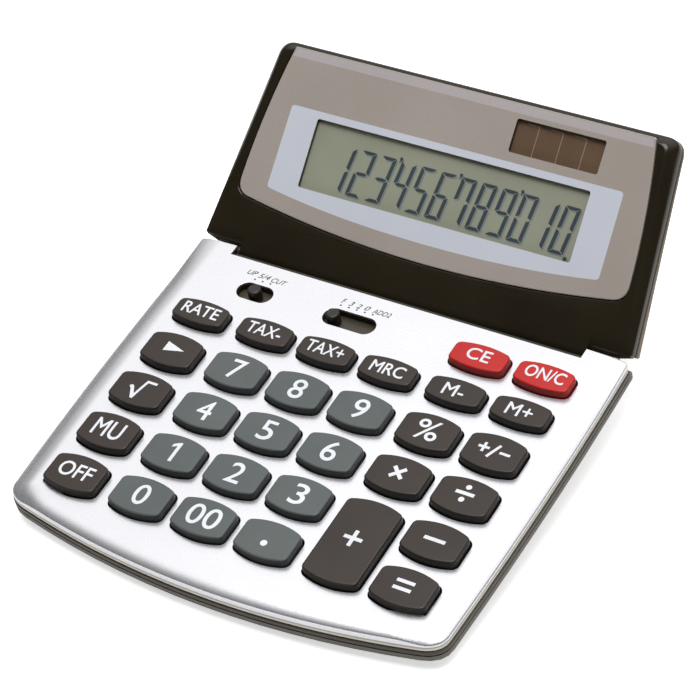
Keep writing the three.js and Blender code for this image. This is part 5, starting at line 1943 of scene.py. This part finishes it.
@dataclass(frozen=True)
class LensPlan:
    """The window plate's outline: bowed lower edge, swelling sides that lean in.

    Attributes:
        bottom_y: Lowest place of the bowed edge.
        top_y: Upper edge.
        shoulder_y: Where the bowed edge ends at the sides.
        bottom_half: Half width below.
        top_half: Half width above.
        bulge: How far the sides swell.
        corner: Size of the lower corners.
        top_corner: Size of the upper corners.
    """

    bottom_y: float = 10.2
    top_y: float = 62.3
    shoulder_y: float = 15.2
    bottom_half: float = 64.4
    top_half: float = 59.4
    bulge: float = 0.9
    corner: float = 4.2
    top_corner: float = 0.8

    def loop(self, grow: float = 0.0) -> np.ndarray:
        """The closed outline grown by a distance, of straight runs and quadratic curves.

        Args:
            grow: How far it is grown.

        Returns:
            The outline, from the middle of the bowed edge round to it again.
        """
        low, high = self.bottom_half + grow, self.top_half + grow
        shoulder, middle, top = self.shoulder_y - grow, self.bottom_y - grow, self.top_y + grow
        bow_x = low - self.corner
        slope = 2 * (shoulder - middle) / bow_x
        start = np.array([low, shoulder + self.corner * (1 + slope)])
        end = np.array([high, top - self.top_corner])
        swell = (start + end) / 2 + np.array([2 * self.bulge, 0.0])
        bow = bend((-bow_x, shoulder), (0.0, 2 * middle - shoulder), (bow_x, shoulder), 48)
        right = chain(
            bow[24:],
            bend((bow_x, shoulder), (low, shoulder + slope * self.corner), start, 12),
            bend(start, swell, end, 20),
            bend(end, (high, top), (high - self.top_corner, top), 10),
            straight((high - self.top_corner, top), (0.0, top), 10),
        )
        return mirrored(right)


@dataclass(frozen=True)
class SevenSegments:
    """The strokes of the number panel's digits, slanted a little.

    Attributes:
        shown: The digits that are lit.
        first_x: Left side of the first digit at its top.
        pitch: Distance from one digit to the next.
        bottom: Lower end of a digit.
        top: Upper end.
        width: Width of a digit.
        stroke: Width of an upright stroke.
        bar: Width of a level stroke.
        gap: Gap between two strokes.
        tip: Size of the cut corners of a stroke.
        slant: Sideways shift for each unit of height.
        marks: Places of the thousands marks.
        mark: Radius, half width of the tail and its length.
        point: Radius and place of the point.
        lit: Which strokes each digit has, from a at the top clockwise to f, and g in the middle.
    """

    shown: str = "123456789010"
    first_x: float = -35.1
    pitch: float = 6.695
    bottom: float = 23.5
    top: float = 37.65
    width: float = 4.95
    stroke: float = 1.18
    bar: float = 0.98
    gap: float = 0.2
    tip: float = 0.2
    slant: float = 0.125
    marks: tuple[tuple[float, float], ...] = ((-15.5, 38.05), (4.45, 38.05), (24.45, 38.05))
    mark: tuple[float, float, float] = (0.5, 0.22, 1.25)
    point: tuple[float, float, float] = (0.65, 42.75, 22.75)
    lit: tuple[tuple[str, str], ...] = (
        ("0", "abcdef"), ("1", "bc"), ("2", "abdeg"), ("3", "abcdg"), ("4", "bcfg"),
        ("5", "acdfg"), ("6", "acdefg"), ("7", "abcf"), ("8", "abcdefg"), ("9", "abcdfg"),
    )

    def leaned(self, points: np.ndarray) -> np.ndarray:
        """Shifts points to the right by the slant times their height under the top."""
        shift = (points[:, 1] - self.top) * self.slant
        return points + np.column_stack([shift, np.zeros(len(points))])

    def strokes(self, digit: str, left: float, grow: float) -> list[np.ndarray]:
        """The lit strokes of one digit: mitred bars round two squares and a pointed middle bar.

        Args:
            digit: The digit.
            left: Left side of the digit at its top.
            grow: How far each stroke is widened.

        Returns:
            One closed outline for each stroke.
        """
        x0, x1, y0, y1 = left, left + self.width, self.bottom, self.top
        middle = (y0 + y1) / 2
        w, h, g, tip = self.stroke + grow, self.bar + grow, self.gap, self.tip
        half = h / 2
        point = half * 0.6
        shapes = {
            "g": [
                [x0 + g + point, middle], [x0 + w + g, middle + half], [x1 - w - g, middle + half],
                [x1 - g - point, middle], [x1 - w - g, middle - half], [x0 + w + g, middle - half],
            ]
        }
        for letter, y, way in (("a", y1, -1), ("d", y0, 1)):
            shapes[letter] = [
                [x0 + g + tip, y], [x1 - g - tip, y], [x1 - g, y + way * tip],
                [x1 - w - g, y + way * h], [x0 + w + g, y + way * h], [x0 + g, y + way * tip],
            ]
        uprights = (("f", x0, 1, y1, -1), ("b", x1, -1, y1, -1), ("e", x0, 1, y0, 1), ("c", x1, -1, y0, 1))
        for letter, x, side, y, way in uprights:
            shapes[letter] = [
                [x, y + way * g], [x + side * w, y + way * (h + g)],
                [x + side * w, middle - way * (half + g)],
                [x + side * half * 0.4, middle - way * g], [x, middle - way * g],
            ]
        return [self.leaned(np.array(shapes[letter])) for letter in dict(self.lit)[digit]]

    def thousands_mark(self, x: float, y: float, grow: float) -> list[np.ndarray]:
        """A thousands mark: a round dot with a short tail below it.

        Args:
            x: Place of the dot.
            y: Place of the dot.
            grow: How far the mark is widened.

        Returns:
            The outlines of dot and tail.
        """
        radius, half, length = self.mark
        half, end = half + grow / 2, y - length - grow
        tail = np.array([[x - half, y], [x + half, y], [x - 0.1, end], [x - 0.45, end]])
        return [disc(radius + grow / 2, x, y), tail]

    def outlines(self, grow: float) -> list[np.ndarray]:
        """All that the panel shows: the digits, the thousands marks and the point.

        Args:
            grow: How far each stroke is widened.

        Returns:
            The outlines on the panel.
        """
        found = []
        for index, digit in enumerate(self.shown):
            found += self.strokes(digit, self.first_x + self.pitch * index, grow)
        for x, y in self.marks:
            found += self.thousands_mark(x, y, grow)
        radius, x, y = self.point
        return found + [disc(radius + grow / 2, x, y)]


@dataclass(frozen=True)
class Head:
    """The tilting display head: bezel with its hinge barrel, back cover, lens and panels.

    Boxes are left, right, lower and upper side.

    Attributes:
        head: The head's frame.
        plan: Outline of the head.
        lens: Outline of the window plate.
        digits: What the number panel shows.
        front: Level of the front plane.
        seat: Level of the seat that the lens lies on.
        seat_gap: Gap round the lens, and between barrel and back cover.
        seat_edge: Radius of the seat's edge.
        lens_back: Level of the lens's back.
        lens_bevel: Size of its edge's round.
        wall_under: Level of the front wall's underside.
        wall: Thickness of the side walls.
        slope_width: Width of the rim's slope.
        support: Width of the flat strips beside rounds, which keep the shading even.
        groove: Width of the groove between the shells.
        tongue_inset: How far its ground lies inside.
        tongue_y: Lower end of the hollow behind the front wall.
        barrel: Radius of the hinge barrel.
        barrel_half: Half of its length.
        collar: Radius of the barrel's narrow ends, which hide the pins.
        collar_length: How far these stand out.
        pin_hole: Radius of the hole for the pins.
        lug_inner: Inner side of the room for the case's hinge lugs.
        lug_outer: Its outer side.
        lug_relief: Its radius.
        lip: Profile of the lip that closes the shell's lower edge towards the deck, in Y and Z.
        lip_ends: Places along X and the share of the lip's depth there.
        ribbon_bend: Where the flat cable bends up into the barrel, from the hinge axis.
        ribbon_half: Half the width of its room.
        ribbon_reach: How far the room reaches from the axis.
        ribbon_swing: How far the head swings, in degrees.
        ribbon_lead: Room that is left before and after, in degrees.
        back: Level of the back.
        back_wall: Thickness of the back.
        back_round: Width of the round that leads to it.
        panel_line: Insets and levels, from the back's, of the line round the back's panel.
        number_window: Box of the window over the number panel.
        number_panel: Box of the number panel.
        number_under: Level of its under side.
        solar_window: Box of the window over the solar cell.
        solar_panel: Box of the solar cell.
        solar_under: Level of its under side.
        panel_room: Gap round both panels.
        window_corner: Radius of the windows' corners.
        panel_corner: Radius of the panels' corners.
        strip_y: Lower edge of the strip of painted highlight along the lens's upper edge.
        film: Thickness of the lit digits and of the solar cell's fingers.
        shade_film: Thickness of the digits' shade.
        shade_shift: Where the shade falls.
        shade_grow: How much wider it is.
        finger_places: Places of the solar cell's fingers.
    """

    head: Lean
    plan: HeadPlan = HeadPlan()
    lens: LensPlan = LensPlan()
    digits: SevenSegments = SevenSegments()
    front: float = 5.0
    seat: float = 3.5
    seat_gap: float = 0.3
    seat_edge: float = 0.25
    lens_back: float = 3.8
    lens_bevel: float = 0.3
    wall_under: float = 2.4
    wall: float = 1.6
    slope_width: float = 3.2
    support: float = 0.05
    groove: float = 1.1
    tongue_inset: float = 0.27
    tongue_y: float = 8.0
    barrel: float = 5.0
    barrel_half: float = 57.7
    collar: float = 2.95
    collar_length: float = 0.8
    pin_hole: float = 2.1
    lug_inner: float = 58.0
    lug_outer: float = 65.5
    lug_relief: float = 3.5
    lip: tuple[tuple[float, float], ...] = (
        (2.4, 1.5), (2.4, 4.7), (1.6, 4.48), (0.9, 4.2), (0.35, 3.85), (0.1, 3.4), (0.1, 1.5)
    )
    lip_ends: tuple[tuple[float, float], ...] = ((-70.5, 0.5), (-66.5, 1.0), (66.5, 1.0), (70.5, 0.5))
    ribbon_bend: tuple[float, float] = (-7.475, -3.0)
    ribbon_half: float = 5.7
    ribbon_reach: float = 6.0
    ribbon_swing: float = 45.0
    ribbon_lead: float = 11.0
    back: float = -3.2
    back_wall: float = 1.4
    back_round: float = 2.4
    panel_line: tuple[tuple[float, float], ...] = (
        (2.45, 0.0), (5.0, 0.0), (5.2, 0.3), (5.6, 0.3), (5.8, 0.0),
    )
    number_window: tuple[float, float, float, float] = (-45.1, 45.1, 22.0, 43.05)
    number_panel: tuple[float, float, float, float] = (-47.6, 47.6, 19.4, 45.0)
    number_under: float = 1.9
    solar_window: tuple[float, float, float, float] = (16.95, 45.35, 47.95, 57.9)
    solar_panel: tuple[float, float, float, float] = (15.4, 46.7, 47.0, 58.9)
    solar_under: float = 2.3
    panel_room: float = 0.4
    window_corner: float = 0.7
    panel_corner: float = 0.4
    strip_y: float = 59.35
    film: float = 0.02
    shade_film: float = 0.008
    shade_shift: tuple[float, float] = (0.55, -0.45)
    shade_grow: float = 0.05
    finger_places: tuple[float, ...] = (23.72, 31.33, 38.8)

    def along(self, profile: np.ndarray, places: Sequence[float]) -> Solid:
        """A closed prism along X of a profile of Y and Z."""
        profile = closed(profile)
        return Solid().loft([np.column_stack([np.full(len(profile), x), profile]) for x in places])

    def rod(self, radius: float, x0: float, x1: float, steps: int = 48) -> Solid:
        """A closed rod along the hinge axis."""
        return self.along(arc((0.0, 0.0), radius, 0, 2 * math.pi, steps), (x0, x1))

    def less(self, shell: bpy.types.Mesh, tool: Solid) -> bpy.types.Mesh:
        """A shell with a solid cut out of it."""
        return worked(shell, tool.mesh("tool", self.head), Operation.CUT)

    def plus(self, shell: bpy.types.Mesh, tool: Solid) -> bpy.types.Mesh:
        """A shell with a solid joined to it."""
        return worked(shell, tool.mesh("tool", self.head), Operation.JOIN)

    def without_lugs(self, shell: bpy.types.Mesh) -> bpy.types.Mesh:
        """Cuts the room for the case's hinge lugs on both sides.

        Args:
            shell: The shell that is cut.

        Returns:
            The cut shell.
        """
        for x0, x1 in ((self.lug_inner, self.lug_outer), (-self.lug_outer, -self.lug_inner)):
            shell = self.less(shell, self.rod(self.lug_relief, x0, x1))
        return shell

    def front_shell(self) -> Solid:
        """The bezel before it is worked.

        From the parting line the side rises to the rim, turns over a small round, and the slope
        levels out to the front plane as front - drop (1 - s)^2, s from rim to plane.

        Returns:
            The closed shell, filled.
        """
        plan = self.plan
        tongue, side = plan.loop(self.tongue_inset), plan.loop(0.0)
        rings = [
            lifted(tongue, lambda p: plan.parting(p) - self.groove - self.support),
            lifted(tongue, plan.parting),
            lifted(side, lambda p: plan.parting(p) + self.support),
            lifted(side, lambda p: plan.rim(p) - 0.3),
            lifted(plan.loop(0.06), lambda p: plan.rim(p) - 0.1),
        ]
        for share in (0.06, *np.linspace(0.12, 1, 16)):
            outline = plan.loop(self.slope_width * share)
            rings.append(lifted(outline, self.front - (self.front - plan.rim(outline)) * (1 - share) ** 2))
        rings.append(lifted(plan.loop(self.slope_width + self.support), self.front))
        return Solid().loft(rings)

    def barrel_rod(self) -> Solid:
        """The hinge barrel with the web that joins it to the front wall."""
        y, under, front = self.tongue_y, self.wall_under, self.front
        profile = chain(
            np.array([[y, under], [y, front], [0.1, front], [0.0, front]]),
            arc((0.0, 0.0), self.barrel, math.pi / 2, 2 * math.pi, 72),
            np.array([[self.barrel, 0.0], [self.barrel, under]]),
        )
        return self.along(profile, (-self.barrel_half, self.barrel_half))

    def lens_seat(self) -> Solid:
        """The room of the lens, with a small round along its upper edge."""
        top = self.front - self.seat_edge
        rings = [lifted(self.lens.loop(self.seat_gap), level) for level in (self.seat, top)]
        for inset, lower in rounding(self.seat_edge, QUARTER_STEPS[1:]):
            rings.append(lifted(self.lens.loop(self.seat_gap + inset), self.front - lower))
        rings.append(lifted(self.lens.loop(self.seat_gap + self.seat_edge), self.front + 1))
        return Solid().loft(rings)

    def lower_lip(self) -> Solid:
        """The lip along the lower edge: one profile along X, drawn up to a sliver at both ends."""
        lip = closed(np.array(self.lip))
        root = lip[:, 0].max()
        rings = []
        for x, share in self.lip_ends:
            depth = root - (root - lip[:, 0]) * share
            rings.append(np.column_stack([np.full(len(lip), x), depth, lip[:, 1]]))
        return Solid().loft(rings)

    def ribbon_room(self) -> Solid:
        """The sector that the flat cable needs in the barrel over the whole swing."""
        across, up = self.ribbon_bend
        swing, lead = math.radians(self.ribbon_swing), math.radians(self.ribbon_lead)
        last = math.atan2(up, across) + 2 * math.pi + lead
        rim = arc((0.0, 0.0), self.ribbon_reach, last - swing - 2 * lead, last, 24)
        return self.along(np.concatenate([np.zeros((1, 2)), rim]), (-self.ribbon_half, self.ribbon_half))

    def bezel(self) -> bpy.types.Mesh:
        """The front shell, hollowed, with its barrel, lip, seat, windows and hinge holes.

        Returns:
            The finished mesh.
        """
        shell = self.front_shell().mesh("bezel", self.head)
        pocket = self.plan.loop(self.wall, self.tongue_y)
        shell = self.less(shell, Solid().prism(pocket, self.back - 1, self.wall_under))
        shell = self.plus(self.plus(shell, self.barrel_rod()), self.lower_lip())
        shell = self.less(shell, self.lens_seat())
        room = self.panel_room
        for x0, x1, y0, y1 in (self.number_panel, self.solar_panel):
            box = rounded_box(x0 - room, x1 + room, y0 - room, y1 + room, self.panel_corner, 3)
            shell = self.less(shell, Solid().prism(box, self.wall_under - 1, self.front))
        shell = self.without_lugs(self.less(shell, self.ribbon_room()))
        half = self.barrel_half + self.collar_length
        shell = self.plus(shell, self.rod(self.collar, -half, half))
        reach = self.plan.bottom_half + 0.5
        return self.less(shell, self.rod(self.pin_hole, -reach, reach))

    def back_cover(self) -> bpy.types.Mesh:
        """The back shell: side, a round of quarter-ellipse form, and a flat back with a panel line.

        The round's inset is w (1 - cos a) and its level side (1 - sin a) + back sin a.

        Returns:
            The finished mesh.
        """
        plan = self.plan
        rings = [
            lifted(plan.loop(inset), lambda p, drop=drop: plan.parting(p) - self.groove - drop)
            for inset, drop in ((self.tongue_inset, 0.0), (0.08, 0.02), (0.0, 0.12))
        ]
        for inset, left in rounding(1.0, np.arange(0, 91, 10)):
            outline = plan.loop(self.back_round * inset)
            rings.append(lifted(outline, plan.back_side(outline) * left + self.back * (1 - left)))
        rings += [lifted(plan.loop(inset), self.back + rise) for inset, rise in self.panel_line]
        shell = Solid().loft(rings).mesh("back", self.head)
        hollow = plan.loop(self.wall, self.tongue_y)
        shell = self.less(shell, Solid().prism(hollow, self.back + self.back_wall, self.front))
        half = self.barrel_half + self.seat_gap
        return self.without_lugs(self.less(shell, self.rod(self.barrel + self.seat_gap, -half, half, 96)))

    def border(self) -> np.ndarray:
        """Outline of the silver-blue print round the number window, its lower edge bowed down."""
        right = chain(
            bend((0.0, 15.75), (30.0, 15.75), (53.9, 19.4), 24),
            bend((53.9, 19.4), (55.0, 19.6), (55.0, 20.7), 6),
            straight((55.0, 20.7), (54.75, 44.0), 4),
            bend((54.75, 44.0), (54.75, 45.2), (53.55, 45.2), 6),
            straight((53.55, 45.2), (0.0, 45.2), 4),
        )
        return mirrored(right)

    def strip(self, face: np.ndarray) -> np.ndarray:
        """Outline of the strip of painted highlight along the lens's upper edge, just inside its face.

        Args:
            face: Outline of the face.

        Returns:
            The closed outline.
        """
        side = face[(face[:, 0] > 50) & (face[:, 1] > 20) & (face[:, 1] < 61)]
        side = side[np.argsort(side[:, 1])]
        edge_x = float(np.interp(self.strip_y, side[:, 1], side[:, 0])) - 0.05
        half, top = self.lens.top_half, self.lens.top_y
        corners = [[0.0, self.strip_y], [edge_x, self.strip_y]]
        corners += [[half - 0.48, top - 1.18], [half - 1.1, top - 0.45]]
        return mirrored(np.array(corners + [[0.0, top - 0.45]]))

    def window_plate(self) -> Solid:
        """The lens: bevelled edge, two windows, and its prints as zones of the front face.

        Returns:
            The lens; the border is marked 1, the painted highlight strip 2 and the walls of the windows 3.
        """
        lens = self.lens
        rings = [lifted(lens.loop(), level) for level in (self.lens_back, self.front - self.lens_bevel)]
        for inset, lower in rounding(self.lens_bevel, QUARTER_STEPS[1:]):
            rings.append(lifted(lens.loop(-inset), self.front - lower))
        face = lens.loop(-self.lens_bevel - self.support)
        rings.append(lifted(face, self.front))
        solid = Solid().grid(rings)
        windows = [rounded_box(*box, self.window_corner) for box in (self.number_window, self.solar_window)]
        # The strip zone is a painted highlight along the upper edge.
        solid.sheet(face, windows, self.front, zones=[(self.border(), 1), (self.strip(face), 2)])
        solid.sheet(lens.loop(), windows, self.lens_back)
        for loop in windows:
            solid.grid([lifted(loop, self.front), lifted(loop, self.lens_back)], 3)
        return solid

    def shown_digits(
        self, bottom: float, thick: float, shift: Sequence[float] = (0.0, 0.0), grow: float = 0.0
    ) -> Solid:
        """All that the number panel shows, as thin prisms.

        Args:
            bottom: Their lower level.
            thick: Their thickness.
            shift: How far they are moved on the panel.
            grow: How far each stroke is widened.

        Returns:
            All strokes as one solid.
        """
        solid = Solid()
        for outline in self.digits.outlines(grow):
            solid.prism(outline + np.array(shift), bottom, bottom + thick)
        return solid

    def fingers(self) -> Solid:
        """The thin metal lines between the four fields of the solar cell, hooked at the top."""
        upright = [[-0.12, 47.2], [0.12, 47.2], [0.12, 57.15]]
        hook = np.array(upright + [[-4.0, 57.35], [-4.0, 57.1], [-0.12, 56.9]])
        solid = Solid()
        for x in self.finger_places:
            solid.prism(hook + np.array([x, 0.0]), self.seat, self.seat + self.film)
        return solid

    def build(self) -> None:
        """Makes the pieces of the head."""
        top, corner = self.seat, self.panel_corner
        panel = soft_plate(self.number_panel, corner, 4, self.number_under, top)
        shade = self.shown_digits(top, self.shade_film, self.shade_shift, self.shade_grow)
        cell = soft_plate(self.solar_panel, corner, 4, self.solar_under, top)
        show(self.bezel(), "display_frame", [GLOSS_ABS], "display", "black_plastic", ["display_bezel"])
        cover = self.back_cover()
        show(cover, "display_back", [TEXTURED_ABS], "display", "dark_case", ["display_back_cover"])
        # The third of these finishes paints a highlight along the lens's upper edge.
        printed = [TAUPE_ACRYLIC, SILVER_PRINT, LENS_PAINTED_HIGHLIGHT, TRAY_ABS]
        for solid, name, finishes, slot, nodes in (
            (self.window_plate(), "window_plate", printed, "lens_print", ["display_lens"]),
            (panel, "number_panel", [REFLECTOR], "liquid_crystal", ["lcd_panel"]),
            (self.shown_digits(top + self.film, self.film), "number_digits", [SEGMENT], "liquid_crystal", []),
            (shade, "number_digit_shade", [SEGMENT_SHADOW], "liquid_crystal", []),
            (cell, "solar_glass", [SOLAR], "solar_cell", ["solar_panel"]),
            (self.fingers(), "solar_fingers", [SOLAR_FINGER], "solar_cell", []),
        ):
            show(solid.mesh(name, self.head), name, finishes, "display", slot, nodes)


# Stage


@dataclass(frozen=True)
class Studio:
    """Camera, floor and light.

    Attributes:
        deck: The deck's frame, which the camera was solved in.
        focal_pixels: Focal length in pixels of the photograph.
        position: Camera's place in the deck's frame.
        right: Image's right in the deck's frame.
        down: Image's down in the deck's frame.
        ahead: Line of sight in the deck's frame.
        clip: Nearest and farthest that the camera sees, in metres.
        floor_half: Half the floor's side in metres, wide enough to reach the horizon in low views.
        seen_glow: What brings the floor up to white where the camera sees it.
        mirrored_glow: The same in reflections.
        dome_axis: Where the dome of light is brightest.
        dome_span: Cosines between which its strength rises.
        dome_strength: Its least and its greatest strength.
        lamp_place: Place of the softbox, in metres.
        lamp_size: Its sides, in metres.
        lamp_watts: Its power.
    """

    deck: Lean
    focal_pixels: float = 2745.113
    position: tuple[float, float, float] = (340.407, -407.731, 553.387)
    right: tuple[float, float, float] = (0.85704745, 0.49193227, -0.15320674)
    down: tuple[float, float, float] = (0.26466535, -0.67545492, -0.68826805)
    ahead: tuple[float, float, float] = (-0.44206551, 0.54932986, -0.70909434)
    clip: tuple[float, float] = (0.01, 50.0)
    floor_half: float = 40.0
    seen_glow: float = 0.62
    mirrored_glow: float = 0.08
    dome_axis: tuple[float, float, float] = (-0.05, 0.52, 0.85)
    dome_span: tuple[float, float] = (0.45, 1.03)
    dome_strength: tuple[float, float] = (0.05, 1.34)
    lamp_place: tuple[float, float, float] = (0.12, -0.1, 1.5)
    lamp_size: tuple[float, float] = (0.95, 0.75)
    lamp_watts: float = 14.6

    def stand(self, data: bpy.types.ID, axes: Sequence[np.ndarray], place: np.ndarray) -> bpy.types.Object:
        """Puts a camera or lamp into the scene.

        Args:
            data: The camera or lamp.
            axes: Its own three directions in the row frame.
            place: Its place in the row frame, in metres.

        Returns:
            The new object.
        """
        obj = bpy.data.objects.new(data.name, data)
        bpy.context.scene.collection.objects.link(obj)
        obj.matrix_world = Matrix([*np.column_stack([*axes, place]).tolist(), [0.0, 0.0, 0.0, 1.0]])
        return obj

    def camera(self) -> None:
        """Sets the camera at the photograph's place and angle of view."""
        data = bpy.data.cameras.new("camera")
        data.sensor_fit = "HORIZONTAL"
        data.sensor_width = SENSOR_MM
        data.lens = self.focal_pixels * SENSOR_MM / PHOTO_PIXELS
        data.clip_start, data.clip_end = self.clip
        axes = self.deck.turn(np.array([self.right, np.negative(self.down), np.negative(self.ahead)]))
        place = self.deck.row(np.array([self.position]))[0]
        bpy.context.scene.camera = self.stand(data, [unit(axis) for axis in axes], place)

    def floor(self) -> None:
        """A plain pale floor: diffuse, and brightened to white for the camera and in reflections."""
        half = self.floor_half
        mesh = bpy.data.meshes.new("floor")
        corners = [(-half, -half, 0), (half, -half, 0), (half, half, 0), (-half, half, 0)]
        mesh.from_pydata(corners, [], [(0, 1, 2, 3)])
        obj = bpy.data.objects.new("floor", mesh)
        bpy.context.scene.collection.objects.link(obj)
        made = bpy.data.materials.new("pale_paper_floor")
        made.use_nodes = True
        tree = made.node_tree
        tree.nodes.clear()
        rays = add_node(tree, "ShaderNodeLightPath").outputs
        either = {0: rays["Is Glossy Ray"], 1: rays["Is Transmission Ray"]}
        mirrored_ray = add_node(tree, "ShaderNodeMath", either, operation="MAXIMUM")
        dimmed = {0: mirrored_ray.outputs[0], 1: self.mirrored_glow}
        mirrored_lift = add_node(tree, "ShaderNodeMath", dimmed, operation="MULTIPLY")
        summed = {0: rays["Is Camera Ray"], 1: self.seen_glow, 2: mirrored_lift.outputs[0]}
        lift = add_node(tree, "ShaderNodeMath", summed, operation="MULTIPLY_ADD")
        paper = add_node(tree, "ShaderNodeBsdfDiffuse", {"Color": linear("F4F4F4")})
        glow = add_node(tree, "ShaderNodeEmission", {"Color": linear("FFFFFF"), "Strength": lift.outputs[0]})
        both = add_node(tree, "ShaderNodeAddShader", {0: paper.outputs[0], 1: glow.outputs[0]})
        add_node(tree, "ShaderNodeOutputMaterial", {"Surface": both.outputs[0]})
        mesh.materials.append(made)

    def light(self) -> None:
        """Soft studio light: a wide bright dome behind and above, dimmer at the front and low down.

        The world's strength is low + (high - low) smooth(d), d the cosine of a direction's angle
        to the dome's axis, and 1 for the camera at the least, so that the sky is white.
        """
        world = bpy.data.worlds.new("studio")
        bpy.context.scene.world = world
        world.use_nodes = True
        tree = world.node_tree
        tree.nodes.clear()
        way = add_node(tree, "ShaderNodeTexCoord").outputs["Generated"]
        axis = tuple(unit(np.array(self.dome_axis)))
        toward = add_node(tree, "ShaderNodeVectorMath", {0: way, 1: axis}, operation="DOT_PRODUCT")
        names = ("From Min", "From Max", "To Min", "To Max")
        span = {"Value": toward.outputs["Value"], **dict(zip(names, self.dome_span + self.dome_strength))}
        strength = add_node(tree, "ShaderNodeMapRange", span, interpolation_type="SMOOTHSTEP")
        seen = add_node(tree, "ShaderNodeLightPath").outputs["Is Camera Ray"]
        either = {0: strength.outputs["Result"], 1: seen}
        lifted_strength = add_node(tree, "ShaderNodeMath", either, operation="MAXIMUM")
        shown = {"Color": linear("FFFFFF"), "Strength": lifted_strength.outputs[0]}
        sky = add_node(tree, "ShaderNodeBackground", shown)
        add_node(tree, "ShaderNodeOutputWorld", {"Surface": sky.outputs[0]})
        lamp = bpy.data.lights.new("softbox", "AREA")
        lamp.shape = "RECTANGLE"
        lamp.size, lamp.size_y = self.lamp_size
        lamp.energy = self.lamp_watts
        place = np.array(self.lamp_place)
        back = unit(place)
        side = unit(np.cross([0.0, 0.0, 1.0], back))
        self.stand(lamp, [side, np.cross(back, side), back], place)

    def build(self) -> None:
        """Sets up camera, floor, light and the way colours are shown."""
        self.camera()
        self.floor()
        self.light()
        bpy.context.scene.view_settings.view_transform = "Standard"


def main() -> None:
    """Builds the calculator in order."""
    logging.basicConfig(level=logging.INFO, format="%(name)s: %(message)s")
    frames = Frames()
    deck, head = frames.deck(), frames.head()
    Studio(deck).build()
    for name, finish in CARRIED_OVER.items():
        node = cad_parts[name]
        node.data.materials.clear()
        node.data.materials.append(finish.material())
        log.info("%s stays, finished as %s", name, finish.name)
    keyboard = Keyboard(deck)
    switches = SlideSwitches(deck)
    Deck(deck, keyboard, switches).build()
    keyboard.build()
    KeyMat(deck, keyboard).build()
    switches.build()
    Underside(deck).build()
    Head(head).build()
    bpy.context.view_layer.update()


if __name__ == "__main__":
    main()
